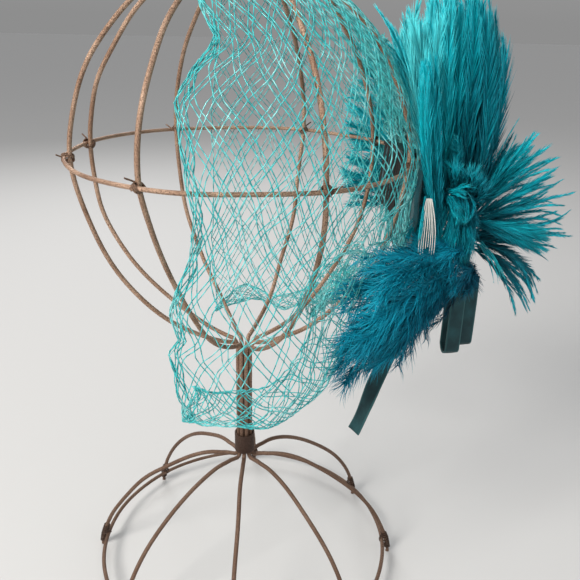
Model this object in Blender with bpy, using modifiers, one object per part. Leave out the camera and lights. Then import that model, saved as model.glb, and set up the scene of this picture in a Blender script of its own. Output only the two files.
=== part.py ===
"""A feather fascinator with a net veil, shown on the wire hat stand that holds it.

Metres, +Z up. Every piece is laid out from the stand's upright axis, with the feathers on its +X side
and the veil's open edge towards -X. Last of all the assembly is moved so that its box stands centred
on the origin, with the feet on the floor.
"""

import math
from typing import NamedTuple

import bmesh
import bpy
from mathutils import Matrix, Quaternion, Vector

# Wires of the stand
RIB_WIRE = 0.0013
RING_WIRE = 0.0011
TIE_WIRE = 0.0007
GAP = 0.0003
TIE_SLACK = 0.0018
RING_SIDES = 30
WELD = 0.00002

# Head of the stand: eight ribs between a crown knot and the neck, round an equator ring
EQUATOR_Z = 0.2738
RIB_RADIUS = 0.0888
HEAD_RISE = 0.0976
HEAD_DROP = 0.1130
UPPER_POWER = 1.88
LOWER_POWER = 1.90
LOWER_ROUNDNESS = 1.59
CROWN_END_RADIUS = 0.0065
CROWN_KNOT_RADIUS = 0.0058
CROWN_KNOT_HEIGHT = 0.0060
EQUATOR_RING_RADIUS = (RIB_RADIUS + RIB_WIRE + RING_WIRE + GAP) / math.cos(math.pi / RING_SIDES)

# Neck and collar
NECK_RADIUS = 0.00385
FIRST_NECK_AZIMUTH = -115.0
COLLAR_BOTTOM_Z = 0.0825
COLLAR_HEIGHT = 0.0130
COLLAR_WALL = 0.0008
COLLAR_BORE = NECK_RADIUS + RIB_WIRE + GAP
NECK_END_Z = COLLAR_BOTTOM_Z + 0.0065
LEG_TOP_Z = COLLAR_BOTTOM_Z + 0.0045

# Foot of the stand: eight arched legs and a ring just above the floor
FOOT_RADIUS = 0.0990
LEG_RISE = 0.0820
LEG_ROUNDNESS = 1.25
BASE_RING_Z = 0.0100
BASE_RING_WIRE = 0.00125
FIRST_LEG_AZIMUTH = -138.8

# Base of the fascinator, on the outside of the equator ring
TIE_REACH = EQUATOR_RING_RADIUS + RING_WIRE + TIE_SLACK + 2 * TIE_WIRE
PLATE_INNER = TIE_REACH + 2 * GAP
PLATE_THICK = 0.0020
PLATE_HALF_TURN = 31.0
PLATE_HALF_HEIGHT = 0.0480
PLATE_Z = 0.2520

# Veil: a coarse net that wraps the +X side of the head and hangs below it
VEIL_EDGE_TURN = 105.0
VEIL_COLUMNS = 7
VEIL_ROWS = 7
VEIL_BAR = 0.0024
VEIL_TOP_RADIUS = 0.0340
VEIL_OVER_RIBS = 0.0064
VEIL_OVER_RING = TIE_REACH + 0.0026
VEIL_OVER_PLATE = PLATE_INNER + PLATE_THICK + 0.0026
VEIL_SIDE_RADIUS = 0.0820
VEIL_HEM_RADIUS = 0.0900
VEIL_HEM_Z = 0.1560
VEIL_HEM_AT_PLATE_Z = 0.2010

RIBBON_WIDTH = 0.0085
RIBBON_THICK = 0.0010

# Locks of one tuft start a little apart and turn a little, each on from the last
LOCK_STEP = 0.00023
LOCK_ROLL = 1.7

# Comb behind the plate
COMB_BAR_HALF = 0.0012
COMB_HALF_TURN = 13.0
COMB_MIDDLE = 4.3
COMB_INNER = RIB_RADIUS - 0.0035
COMB_OUTER = PLATE_INNER - 3 * GAP
COMB_SEGMENTS = 6
COMB_TEETH = 9
COMB_TOOTH_RADIUS = 0.0007


class Rib(NamedTuple):
    """A head rib: where it crosses the equator, in degrees, and how far it was bent from the true arc."""

    azimuth: float
    upper_bulge: float
    lower_bulge: float


HEAD_RIBS = (
    Rib(-118.8, 0.0016, -0.0070),
    Rib(-65.8, 0.0012, 0.0020),
    Rib(-19.7, 0.0008, 0.0000),
    Rib(28.3, -0.0020, 0.0030),
    Rib(64.4, 0.0010, -0.0020),
    Rib(119.2, 0.0000, 0.0030),
    Rib(164.9, -0.0006, 0.0042),
    Rib(191.4, 0.0000, 0.0000),
)

LEG_TURN = (0.0, 0.0, 0.0, 0.0, -8.2, 0.0, 0.0, 0.0)


class Lock(NamedTuple):
    """A lock of feather from a tuft's root: lean from +Z to +X and sweep to -Y, in degrees, and its
    length, half width and sideways curl."""

    lean: float
    sweep: float
    length: float
    half_width: float
    curl: float


class Tuft(NamedTuple):
    """A clump of locks fused to a core: the core's centre and half sizes, and how flat the locks are."""

    name: str
    root: tuple
    core: tuple
    flatness: float
    locks: tuple


UPRIGHT_PLUME = Tuft(
    "upright_plume",
    (0.1156, 0.000, 0.252),
    (0.0120, 0.0150, 0.0160),
    0.45,
    tuple(
        Lock(lean, sweep, length, half_width, curl)
        for sweep, shift in ((-13.0, 4.0), (0.0, 0.0), (13.0, 4.0))
        for lean, length, half_width, curl in (
            (-22.0 + shift, 0.109, 0.0058, 0.0100),
            (-12.0 + shift, 0.108, 0.0068, 0.0060),
            (-2.0 + shift, 0.106, 0.0072, 0.0030),
            (8.0 + shift, 0.097, 0.0072, 0.0020),
            (17.0 + shift, 0.082, 0.0066, 0.0060),
        )
    ),
)

SIDE_SPRAY = Tuft(
    "side_spray",
    (0.1320, -0.0080, 0.2343),
    (0.0095, 0.0120, 0.0110),
    0.40,
    (
        Lock(24.0, -10.0, 0.062, 0.0040, -0.0040),
        Lock(36.0, 8.0, 0.068, 0.0044, -0.0040),
        Lock(48.0, -6.0, 0.062, 0.0052, -0.0030),
        Lock(63.0, 10.0, 0.056, 0.0060, 0.0020),
        Lock(80.0, -4.0, 0.057, 0.0060, 0.0020),
        Lock(97.0, 8.0, 0.058, 0.0056, 0.0030),
        Lock(122.0, 4.0, 0.042, 0.0054, 0.0030),
        Lock(136.0, -8.0, 0.066, 0.0036, 0.0040),
        Lock(146.0, 6.0, 0.050, 0.0040, 0.0030),
    ),
)

CENTRE_TUFT = Tuft(
    "centre_tuft",
    (0.1174, -0.0211, 0.2424),
    (0.0130, 0.0080, 0.0120),
    0.60,
    (
        Lock(-30.0, 28.0, 0.034, 0.0055, 0.0030),
        Lock(12.0, 34.0, 0.030, 0.0060, -0.0030),
        Lock(48.0, 34.0, 0.028, 0.0055, -0.0030),
        Lock(-105.0, 40.0, 0.019, 0.0056, 0.0030),
        Lock(150.0, 46.0, 0.020, 0.0054, 0.0030),
    ),
)

LOWER_SPRAY = Tuft(
    "lower_spray",
    (0.1160, -0.0317, 0.2165),
    (0.0140, 0.0090, 0.0120),
    0.42,
    (
        Lock(-70.0, 41.0, 0.080, 0.0075, -0.0060),
        Lock(-86.0, 40.0, 0.084, 0.0085, -0.0060),
        Lock(-98.0, 40.0, 0.096, 0.0080, -0.0050),
        Lock(-110.0, 39.0, 0.090, 0.0090, -0.0050),
        Lock(-121.0, 37.0, 0.086, 0.0085, -0.0040),
        Lock(-132.0, 31.0, 0.068, 0.0090, -0.0030),
        Lock(-158.0, 18.0, 0.052, 0.0080, 0.0020),
        Lock(176.0, 14.0, 0.046, 0.0075, 0.0020),
    ),
)

QUILL_BUNCH = Tuft(
    "quill_bunch",
    (0.0950, -0.0465, 0.2620),
    (0.0046, 0.0030, 0.0040),
    0.60,
    (
        Lock(165.0, 3.0, 0.031, 0.0019, 0.0010),
        Lock(171.0, 3.0, 0.032, 0.0019, 0.0000),
        Lock(177.0, 3.0, 0.030, 0.0019, -0.0010),
    ),
)

TUFTS = (UPRIGHT_PLUME, SIDE_SPRAY, CENTRE_TUFT, LOWER_SPRAY, QUILL_BUNCH)


class Finish(NamedTuple):
    """A piece's plain colour, roughness and metallic value."""

    colour: tuple
    roughness: float
    metallic: float


WIRE_FINISH = Finish((0.20, 0.085, 0.045), 0.75, 0.6)
FELT_FINISH = Finish((0.055, 0.20, 0.21), 0.90, 0.0)
FEATHER_FINISH = Finish((0.005, 0.26, 0.36), 0.55, 0.0)
QUILL_FINISH = Finish((0.62, 0.62, 0.56), 0.45, 0.0)
RIBBON_FINISH = Finish((0.02, 0.11, 0.12), 0.70, 0.0)
NET_FINISH = Finish((0.05, 0.52, 0.50), 0.60, 0.0)
STEEL_FINISH = Finish((0.55, 0.55, 0.56), 0.30, 1.0)


def clear_scene():
    """Remove what the scene holds already."""
    for old in list(bpy.data.objects):
        bpy.data.objects.remove(old, do_unlink=True)


def new_collection(name):
    """Make a collection in the scene."""
    made = bpy.data.collections.new(name)
    bpy.context.scene.collection.children.link(made)
    return made


def material_of(name, finish):
    """A Principled material of its own for one piece."""
    made = bpy.data.materials.new(name)
    made.use_nodes = True
    shader = made.node_tree.nodes["Principled BSDF"]
    shader.inputs["Base Color"].default_value = (*finish.colour, 1.0)
    shader.inputs["Roughness"].default_value = finish.roughness
    shader.inputs["Metallic"].default_value = finish.metallic
    return made


def polar(radius, azimuth, z):
    """A point at a radius and an azimuth in degrees about the stand's axis."""
    turn = math.radians(azimuth)
    return Vector((radius * math.cos(turn), radius * math.sin(turn), z))


def smooth_step(low, high, value):
    """Rise smoothly from 0 at low to 1 at high."""
    t = min(max((value - low) / (high - low), 0.0), 1.0)
    return t * t * (3 - 2 * t)


def add_object(name, data, finish, home, frame):
    """Put an object in the model, under the frame empty, with its own material."""
    made = bpy.data.objects.new(name, data)
    home.objects.link(made)
    data.materials.clear()
    data.materials.append(material_of(name, finish))
    made.parent = frame
    return made


def wire_curve(name, points, radius, closed=False, sides=2):
    """Curve data for a wire of round section through the given points."""
    curve = bpy.data.curves.new(name, "CURVE")
    curve.dimensions = "3D"
    curve.bevel_depth = radius
    curve.bevel_resolution = sides
    curve.use_fill_caps = not closed
    spline = curve.splines.new("POLY")
    spline.points.add(len(points) - 1)
    for place, point in zip(spline.points, points):
        place.co = (*point, 1.0)
    spline.use_cyclic_u = closed
    return curve


def rib_radius(z, rib=Rib(0.0, 0.0, 0.0)):
    """Radius of a head rib's centre line at a height."""
    if z >= EQUATOR_Z:
        t = min((z - EQUATOR_Z) / HEAD_RISE, 1.0)
        arc = RIB_RADIUS * (1 - t**UPPER_POWER) ** (1 / UPPER_POWER)
        return arc + rib.upper_bulge * math.sin(math.pi * t)
    t = min((EQUATOR_Z - z) / HEAD_DROP, 1.0)
    arc = (RIB_RADIUS - NECK_RADIUS) * (1 - t**LOWER_POWER) ** (1 / LOWER_ROUNDNESS)
    return NECK_RADIUS + arc + rib.lower_bulge * math.sin(math.pi * t)


def rib_points(index, rib):
    """A rib's centre line from the crown, round the head and down the neck into the collar."""
    even_azimuth = FIRST_NECK_AZIMUTH + 45.0 * index
    end_share = (CROWN_END_RADIUS / RIB_RADIUS) ** UPPER_POWER
    end_rise = (1 - end_share) ** (1 / UPPER_POWER)
    heights = [EQUATOR_Z + HEAD_RISE * end_rise]
    heights += [EQUATOR_Z + HEAD_RISE * math.sin(math.radians(a)) for a in (71, 60, 49, 38, 27, 14, 0)]
    heights += [EQUATOR_Z - HEAD_DROP * math.sin(math.radians(a)) for a in (14, 27, 39, 50, 60, 70, 79)]
    points = []
    for z in heights:
        radius = rib_radius(z, rib)
        share = smooth_step(0.0, 1.0, radius / RIB_RADIUS)
        azimuth = even_azimuth + share * (rib.azimuth - even_azimuth)
        points.append(polar(radius, azimuth, z))
    for z in (EQUATOR_Z - HEAD_DROP - 0.003, NECK_END_Z):
        points.append(polar(NECK_RADIUS, even_azimuth, z))
    return points


def leg_radius(z):
    """Radius of a leg's arch at a height."""
    fall = (z / LEG_RISE) ** (1 / LEG_ROUNDNESS)
    return FOOT_RADIUS * math.sqrt(1 - fall * fall)


def leg_points(index):
    """A leg's centre line: down out of the collar, out over the arch and straight down to its foot."""
    even_azimuth = FIRST_LEG_AZIMUTH + 45.0 * index
    start = (
        (NECK_RADIUS, LEG_TOP_Z),
        (NECK_RADIUS, COLLAR_BOTTOM_Z - 0.0015),
        (0.0055, COLLAR_BOTTOM_Z - 0.0040),
        (0.0095, COLLAR_BOTTOM_Z - 0.0044),
    )
    arch = [
        (FOOT_RADIUS * math.sin(a), LEG_RISE * math.cos(a) ** LEG_ROUNDNESS)
        for a in (math.radians(degrees) for degrees in (11, 23, 35, 47, 58, 68, 77, 84))
    ]
    foot = ((FOOT_RADIUS, 0.0030), (FOOT_RADIUS, 0.0))
    return [
        polar(radius, even_azimuth + LEG_TURN[index] * smooth_step(0.01, 0.08, radius), z)
        for radius, z in (*start, *arch, *foot)
    ]


BASE_RING_RADIUS = leg_radius(BASE_RING_Z) - RIB_WIRE - BASE_RING_WIRE - GAP


def ring_points(radius, z):
    """Points of a level ring."""
    return [polar(radius, 360.0 * k / RING_SIDES, z) for k in range(RING_SIDES)]


def tie_points(azimuth, z, inner, outer, slant):
    """A slanting loop of tie wire round two crossed wires that fill a span of radius."""
    outward = polar(1.0, azimuth, 0.0)
    tangent = polar(1.0, azimuth + 90.0, 0.0)
    across = tangent * math.sin(slant) + Vector((0, 0, 1)) * math.cos(slant)
    clear = TIE_WIRE + TIE_SLACK / 2
    half_depth = (outer - inner) / 2 + clear
    half_width = RIB_WIRE * math.sqrt(2) + clear
    centre = polar((inner + outer) / 2, azimuth, z)
    points = []
    for k in range(10):
        turn = 2 * math.pi * (k + 0.5) / 10
        depth = math.copysign(abs(math.cos(turn)) ** 0.66, math.cos(turn)) * half_depth
        width = math.copysign(abs(math.sin(turn)) ** 0.66, math.sin(turn)) * half_width
        points.append(centre + outward * depth + across * width)
    return points


def turned(name, profile, steps, finish, home, frame):
    """A turned piece: a closed profile of radius and height, spun about the axis."""
    mesh = bpy.data.meshes.new(name)
    count = len(profile)
    closed = profile[0][0] > 0
    edges = [(k, k + 1) for k in range(count - 1)]
    if closed:
        edges.append((count - 1, 0))
    mesh.from_pydata([(radius, 0, z) for radius, z in profile], edges, [])
    made = add_object(name, mesh, finish, home, frame)
    spin = made.modifiers.new("turn", "SCREW")
    spin.steps = spin.render_steps = steps
    spin.use_merge_vertices = True
    spin.merge_threshold = 0.00005
    return made


def build_stand(home, frame):
    """The wire hat stand."""
    for index, rib in enumerate(HEAD_RIBS):
        name = f"head_rib_{index + 1}"
        add_object(name, wire_curve(name, rib_points(index, rib), RIB_WIRE), WIRE_FINISH, home, frame)
        tie = f"head_tie_{index + 1}"
        inner = RIB_RADIUS - RIB_WIRE
        outer = EQUATOR_RING_RADIUS + RING_WIRE
        slant = math.radians(45 if index % 2 else -45)
        loop = tie_points(rib.azimuth, EQUATOR_Z, inner, outer, slant)
        add_object(tie, wire_curve(tie, loop, TIE_WIRE, True, 1), WIRE_FINISH, home, frame)
    equator = wire_curve("equator_ring", ring_points(EQUATOR_RING_RADIUS, EQUATOR_Z), RING_WIRE, True)
    add_object("equator_ring", equator, WIRE_FINISH, home, frame)
    knot_low = EQUATOR_Z + HEAD_RISE - 0.5 * CROWN_KNOT_HEIGHT
    knot = (
        (0.0, knot_low + CROWN_KNOT_HEIGHT),
        (0.6 * CROWN_KNOT_RADIUS, knot_low + 0.9 * CROWN_KNOT_HEIGHT),
        (CROWN_KNOT_RADIUS, knot_low + 0.55 * CROWN_KNOT_HEIGHT),
        (0.9 * CROWN_KNOT_RADIUS, knot_low + 0.2 * CROWN_KNOT_HEIGHT),
        (0.0, knot_low),
    )
    turned("crown_knot", knot, 14, WIRE_FINISH, home, frame)
    top = COLLAR_BOTTOM_Z + COLLAR_HEIGHT
    collar = (
        (COLLAR_BORE + COLLAR_WALL, top),
        (COLLAR_BORE + COLLAR_WALL, COLLAR_BOTTOM_Z),
        (COLLAR_BORE, COLLAR_BOTTOM_Z),
        (COLLAR_BORE, top),
    )
    turned("collar", collar, 20, WIRE_FINISH, home, frame)
    for index, leg_turn in enumerate(LEG_TURN):
        name = f"leg_{index + 1}"
        add_object(name, wire_curve(name, leg_points(index), RIB_WIRE), WIRE_FINISH, home, frame)
        tie = f"foot_tie_{index + 1}"
        azimuth = FIRST_LEG_AZIMUTH + 45.0 * index + leg_turn
        inner = BASE_RING_RADIUS - BASE_RING_WIRE
        outer = leg_radius(BASE_RING_Z) + RIB_WIRE
        slant = math.radians(-45 if index % 2 else 45)
        loop = tie_points(azimuth, BASE_RING_Z, inner, outer, slant)
        add_object(tie, wire_curve(tie, loop, TIE_WIRE, True, 1), WIRE_FINISH, home, frame)
    base = wire_curve("base_ring", ring_points(BASE_RING_RADIUS, BASE_RING_Z), BASE_RING_WIRE, True)
    add_object("base_ring", base, WIRE_FINISH, home, frame)


def solidify(made, thickness, offset):
    """Give an open surface its wall."""
    wall = made.modifiers.new("wall", "SOLIDIFY")
    wall.thickness = thickness
    wall.offset = offset
    return wall


def build_plate(home, frame):
    """The felt base: a curved oval that stands against the equator ring."""
    grid = bmesh.new()
    bmesh.ops.create_grid(grid, x_segments=7, y_segments=7, size=1.0)
    for vertex in grid.verts:
        across, up = vertex.co.x, vertex.co.y
        side = across * math.sqrt(1 - up * up / 2)
        rise = up * math.sqrt(1 - across * across / 2)
        taper = 1 - 0.22 * smooth_step(0.2, -1.0, rise)
        z = PLATE_Z + rise * PLATE_HALF_HEIGHT
        lean = 0.0050 * smooth_step(0.0, -1.0, rise) + 0.0020 * smooth_step(0.5, 1.0, rise)
        vertex.co = polar(PLATE_INNER - lean * 0.5, side * taper * PLATE_HALF_TURN, z)
    bmesh.ops.recalc_face_normals(grid, faces=grid.faces)
    mesh = bpy.data.meshes.new("base_plate")
    grid.to_mesh(mesh)
    grid.free()
    plate = add_object("base_plate", mesh, FELT_FINISH, home, frame)
    outward = mesh.polygons[0].normal.dot(mesh.polygons[0].center) > 0
    solidify(plate, PLATE_THICK, 1.0 if outward else -1.0)
    return plate


def mesh_from_curve(name, curve):
    """The closed mesh of a curve, with its caps welded."""
    guide = bpy.data.objects.new(name, curve)
    bpy.context.scene.collection.objects.link(guide)
    graph = bpy.context.evaluated_depsgraph_get()
    mesh = bpy.data.meshes.new_from_object(guide.evaluated_get(graph))
    bpy.data.objects.remove(guide, do_unlink=True)
    shape = bmesh.new()
    shape.from_mesh(mesh)
    bmesh.ops.remove_doubles(shape, verts=shape.verts, dist=WELD / 4)
    bmesh.ops.recalc_face_normals(shape, faces=shape.faces)
    shape.to_mesh(mesh)
    shape.free()
    return mesh


def lock_mesh(name, tuft, index):
    """One flat lock of feather, narrow at its root, widest past its middle and pointed at its tip."""
    lock = tuft.locks[index]
    lean, sweep = math.radians(lock.lean), math.radians(lock.sweep)
    along = Vector((math.cos(sweep) * math.sin(lean), -math.sin(sweep), math.cos(sweep) * math.cos(lean)))
    side = Vector((math.cos(lean), 0.0, -math.sin(lean)))
    thin = along.cross(side).normalized()
    thin.rotate(Quaternion(along, math.radians(LOCK_ROLL * (index + 0.5))))
    start = Vector(tuft.root) + (along + thin) * LOCK_STEP * index
    shares = (0.0, 0.2, 0.42, 0.64, 0.84, 1.0)
    points, widths = [], []
    for t in shares:
        bow = side * lock.curl * 4 * t * (1 - t)
        points.append(start + along * lock.length * t + bow)
        widths.append(lock.half_width * (0.30 + 0.70 * math.sin(math.pi * min(t / 1.24, 1.0))))
    widths[-1] = 0.0006
    curve = wire_curve(name, points, 1.0, False, 0)
    for place, width in zip(curve.splines[0].points, widths):
        place.radius = width
    mesh = mesh_from_curve(name, curve)
    for vertex in mesh.vertices:
        height = (vertex.co - start).dot(thin)
        vertex.co = vertex.co - thin * height * (1 - tuft.flatness)
    return mesh


def fused(base, mesh, cutters):
    """The union of an object's mesh with another closed mesh."""
    other = bpy.data.objects.new("lock", mesh)
    cutters.objects.link(other)
    join = base.modifiers.new("fuse", "BOOLEAN")
    join.operation = "UNION"
    join.solver = "EXACT"
    join.object = other
    graph = bpy.context.evaluated_depsgraph_get()
    result = bpy.data.meshes.new_from_object(base.evaluated_get(graph))
    base.modifiers.remove(join)
    shape = bmesh.new()
    shape.from_mesh(result)
    bmesh.ops.remove_doubles(shape, verts=shape.verts, dist=WELD)
    bmesh.ops.dissolve_degenerate(shape, edges=shape.edges, dist=WELD)
    shape.to_mesh(result)
    shape.free()
    base.data = result
    bpy.data.objects.remove(other, do_unlink=True)


def build_tuft(tuft, finish, home, frame, cutters):
    """A clump of feather locks fused to its core."""
    shape = bmesh.new()
    bmesh.ops.create_uvsphere(shape, u_segments=10, v_segments=6, radius=1.0)
    core = Matrix.Translation(tuft.root) @ Matrix.Diagonal((*tuft.core, 1.0))
    bmesh.ops.transform(shape, matrix=core, verts=shape.verts)
    mesh = bpy.data.meshes.new(tuft.name)
    shape.to_mesh(mesh)
    shape.free()
    made = add_object(tuft.name, mesh, finish, home, frame)
    for index in range(len(tuft.locks)):
        fused(made, lock_mesh(f"{tuft.name}_{index}", tuft, index), cutters)
    made.data.materials.clear()
    made.data.materials.append(material_of(tuft.name, finish))
    return made


def hem_z(azimuth):
    """Height of the veil's lower edge: low across the front and back, high under the plate."""
    rise = 1 - smooth_step(25.0, 82.0, abs(azimuth))
    return VEIL_HEM_Z + rise * (VEIL_HEM_AT_PLATE_Z - VEIL_HEM_Z)


def veil_radius(azimuth, z):
    """Radius of the veil: over the ribs and the plate above, hanging free below."""
    near_ring = 1 - smooth_step(0.018, 0.045, abs(z - EQUATOR_Z))
    over_ribs = rib_radius(max(z, EQUATOR_Z)) + VEIL_OVER_RIBS
    upper = over_ribs + near_ring * max(VEIL_OVER_RING - over_ribs, 0.0)
    plate_share = 1 - smooth_step(PLATE_HALF_TURN - 3.0, PLATE_HALF_TURN + 7.0, abs(azimuth))
    plate_share *= 1 - smooth_step(PLATE_HALF_HEIGHT, PLATE_HALF_HEIGHT + 0.018, abs(z - PLATE_Z))
    upper += plate_share * (VEIL_OVER_PLATE - upper)
    if z >= EQUATOR_Z:
        return upper
    hang = smooth_step(EQUATOR_Z, hem_z(azimuth), z)
    edge_share = smooth_step(58.0, 84.0, abs(azimuth))
    low = VEIL_SIDE_RADIUS + edge_share * (VEIL_HEM_RADIUS - VEIL_SIDE_RADIUS)
    return upper + hang * (1 - plate_share) * (low - upper)


def veil_point(across, up):
    """A point of the veil, from its far edge (0) to its near edge (1) and from hem (0) to crown (1)."""
    azimuth = VEIL_EDGE_TURN * (1 - 2 * across)
    low = hem_z(azimuth)
    hang_share = 0.46
    if up < hang_share:
        z = low + (EQUATOR_Z - low) * up / hang_share
        return polar(veil_radius(azimuth, z), azimuth, z)
    top_share = (VEIL_TOP_RADIUS / RIB_RADIUS) ** UPPER_POWER
    top_turn = math.asin((1 - top_share) ** (1 / UPPER_POWER))
    z = EQUATOR_Z + HEAD_RISE * math.sin(top_turn * (up - hang_share) / (1 - hang_share))
    lift = 0.0030 * smooth_step(0.6, 1.0, (z - EQUATOR_Z) / HEAD_RISE)
    return polar(veil_radius(azimuth, z), azimuth, z + lift)


def build_veil(home, frame):
    """The veil as a coarse net of diamonds, cut through, with its bars closed round every gap."""
    net = bmesh.new()
    bmesh.ops.create_grid(net, x_segments=VEIL_COLUMNS, y_segments=VEIL_ROWS, size=0.5)
    squares = [edge for edge in net.edges if not edge.is_boundary]
    bmesh.ops.poke(net, faces=net.faces)
    bmesh.ops.dissolve_edges(net, edges=squares, use_verts=False)
    for vertex in net.verts:
        vertex.co = veil_point(vertex.co.x + 0.5, vertex.co.y + 0.5)
    mesh = bpy.data.meshes.new("veil")
    net.to_mesh(mesh)
    net.free()
    veil = add_object("veil", mesh, NET_FINISH, home, frame)
    bars = veil.modifiers.new("bars", "WIREFRAME")
    bars.thickness = VEIL_BAR
    bars.use_even_offset = False
    bars.use_boundary = True
    bars.use_replace = True
    return veil


def build_gather(name, path, half_widths, flatness, home, frame):
    """A bunch of gathered net that lies flat against the veil."""
    curve = wire_curve(name, path, 1.0, False, 2)
    for place, width in zip(curve.splines[0].points, half_widths):
        place.radius = width
    mesh = mesh_from_curve(name, curve)
    middle = path[len(path) // 2]
    thin = Vector((middle.x, middle.y, 0.0)).normalized()
    spine = (path[-1] - path[0]).normalized()
    thin = (thin - spine * thin.dot(spine)).normalized()
    for vertex in mesh.vertices:
        nearest = min(path, key=lambda point, place=vertex.co: (point - place).length)
        height = (vertex.co - nearest).dot(thin)
        vertex.co = vertex.co - thin * height * (1 - flatness)
    return add_object(name, mesh, NET_FINISH, home, frame)


def build_gathers(home, frame):
    """The two gathered ends of the veil: one above the plate and one behind the hem."""
    flatness = 0.36
    upper_turn = 25.0
    stand_off = 0.0071
    upper_rows = (
        (0.345, 0.0025),
        (0.336, 0.0085),
        (0.324, 0.0110),
        (0.310, 0.0120),
        (0.297, 0.0095),
        (0.287, 0.0035),
    )
    path = [polar(veil_radius(upper_turn, row[0]) + stand_off, upper_turn, row[0]) for row in upper_rows]
    build_gather("upper_gather", path, [row[1] for row in upper_rows], flatness, home, frame)
    lower_rows = (
        (26.0, 0.1930, 0.0030),
        (34.0, 0.1850, 0.0070),
        (43.0, 0.1720, 0.0095),
        (52.0, 0.1580, 0.0105),
        (60.0, 0.1440, 0.0090),
        (66.0, 0.1320, 0.0030),
    )
    lower_radius = 0.0915
    path = [polar(lower_radius, row[0], row[1]) for row in lower_rows]
    build_gather("lower_gather", path, [row[2] for row in lower_rows], flatness, home, frame)


def strip(name, centres, sides, finish, home, frame):
    """A ribbon through centre points, with its width along the given side directions."""
    verts, faces = [], []
    for centre, side in zip(centres, sides):
        half = side.normalized() * RIBBON_WIDTH / 2
        verts += [centre - half, centre, centre + half]
    for k in range(len(centres) - 1):
        low = 3 * k
        faces += [(low, low + 3, low + 4, low + 1), (low + 1, low + 4, low + 5, low + 2)]
    mesh = bpy.data.meshes.new(name)
    mesh.from_pydata(verts, [], faces)
    made = add_object(name, mesh, finish, home, frame)
    solidify(made, RIBBON_THICK, 0.0)
    return made


def build_ribbons(home, frame):
    """Two hanging loops and a tail of velvet ribbon."""
    loops = (
        ("ribbon_loop_1", (0.1200, -0.0190, 0.1670), 0.0430, 0.0052),
        ("ribbon_loop_2", (0.1289, -0.0150, 0.1700), 0.0400, 0.0050),
    )
    for name, bottom, height, bend in loops:
        x, y, z = bottom
        turn = [math.radians(180 + 30 * k) for k in range(7)]
        front = [(y - bend * 0.8, z + height), (y - bend, z + height * 0.55)]
        back = [(y + bend * 0.8, z + height * 0.55), (y - bend * 0.3, z + height)]
        bow = [(y + bend * math.cos(a), z + bend * math.sin(a)) for a in turn]
        centres = [Vector((x, place_y, place_z)) for place_y, place_z in (*front, *bow, *back)]
        strip(name, centres, [Vector((1, 0, 0))] * len(centres), RIBBON_FINISH, home, frame)
    tail = (
        (0.0960, -0.0240, 0.1990, 0.0),
        (0.0930, -0.0290, 0.1880, 5.0),
        (0.0890, -0.0340, 0.1760, 10.0),
        (0.0840, -0.0390, 0.1630, 15.0),
        (0.0790, -0.0430, 0.1500, 35.0),
        (0.0740, -0.0440, 0.1420, 75.0),
        (0.0700, -0.0450, 0.1360, 120.0),
        (0.0660, -0.0455, 0.1300, 160.0),
        (0.0610, -0.0460, 0.1210, 180.0),
    )
    centres = [Vector(row[:3]) for row in tail]
    sides = []
    for index, row in enumerate(tail):
        ahead = centres[min(index + 1, len(tail) - 1)] - centres[max(index - 1, 0)]
        level = Vector((0, 1, 0)).cross(ahead).normalized()
        sides.append(Matrix.Rotation(math.radians(row[3]), 3, ahead.normalized()) @ level)
    strip("ribbon_tail", centres, sides, RIBBON_FINISH, home, frame)


def build_comb(home, frame, cutters):
    """A plain comb behind the plate, hooked over the equator ring: a curved bar with teeth below it."""
    bar_z = EQUATOR_Z + RING_WIRE + GAP + COMB_BAR_HALF
    shape = bmesh.new()
    bmesh.ops.create_cube(shape, size=1.0)
    along = [edge for edge in shape.edges if abs(edge.verts[0].co.y - edge.verts[1].co.y) > 0.5]
    bmesh.ops.subdivide_edges(shape, edges=along, cuts=COMB_SEGMENTS - 1)
    for vertex in shape.verts:
        azimuth = COMB_MIDDLE + 2 * COMB_HALF_TURN * vertex.co.y
        radius = COMB_OUTER if vertex.co.x > 0 else COMB_INNER
        vertex.co = polar(radius, azimuth, bar_z + 2 * vertex.co.z * COMB_BAR_HALF)
    mesh = bpy.data.meshes.new("comb")
    bmesh.ops.recalc_face_normals(shape, faces=shape.faces)
    shape.to_mesh(mesh)
    shape.free()
    comb = add_object("comb", mesh, STEEL_FINISH, home, frame)
    for k in range(COMB_TEETH):
        azimuth = COMB_MIDDLE + (2 * k / (COMB_TEETH - 1) - 1) * (COMB_HALF_TURN - 1.0)
        tooth = (
            polar(COMB_INNER + 0.0009, azimuth, bar_z),
            polar(COMB_INNER - 0.0002, azimuth, bar_z - 0.010),
            polar(COMB_INNER - 0.0030, azimuth, bar_z - 0.034),
        )
        wire = wire_curve("tooth", tooth, COMB_TOOTH_RADIUS, False, 0)
        fused(comb, mesh_from_curve("tooth", wire), cutters)
    comb.data.materials.clear()
    comb.data.materials.append(material_of("comb", STEEL_FINISH))
    return comb


def centre_on_floor(home, frame):
    """Move the whole model so that its box stands centred on the origin."""
    graph = bpy.context.evaluated_depsgraph_get()
    low = Vector((math.inf,) * 3)
    high = Vector((-math.inf,) * 3)
    for piece in home.objects:
        if piece.type == "EMPTY":
            continue
        solid = piece.evaluated_get(graph)
        mesh = solid.to_mesh()
        for vertex in mesh.vertices:
            place = solid.matrix_world @ vertex.co
            low = Vector(map(min, low, place))
            high = Vector(map(max, high, place))
        solid.to_mesh_clear()
    frame.location = (-(low.x + high.x) / 2, -(low.y + high.y) / 2, -low.z)


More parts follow.
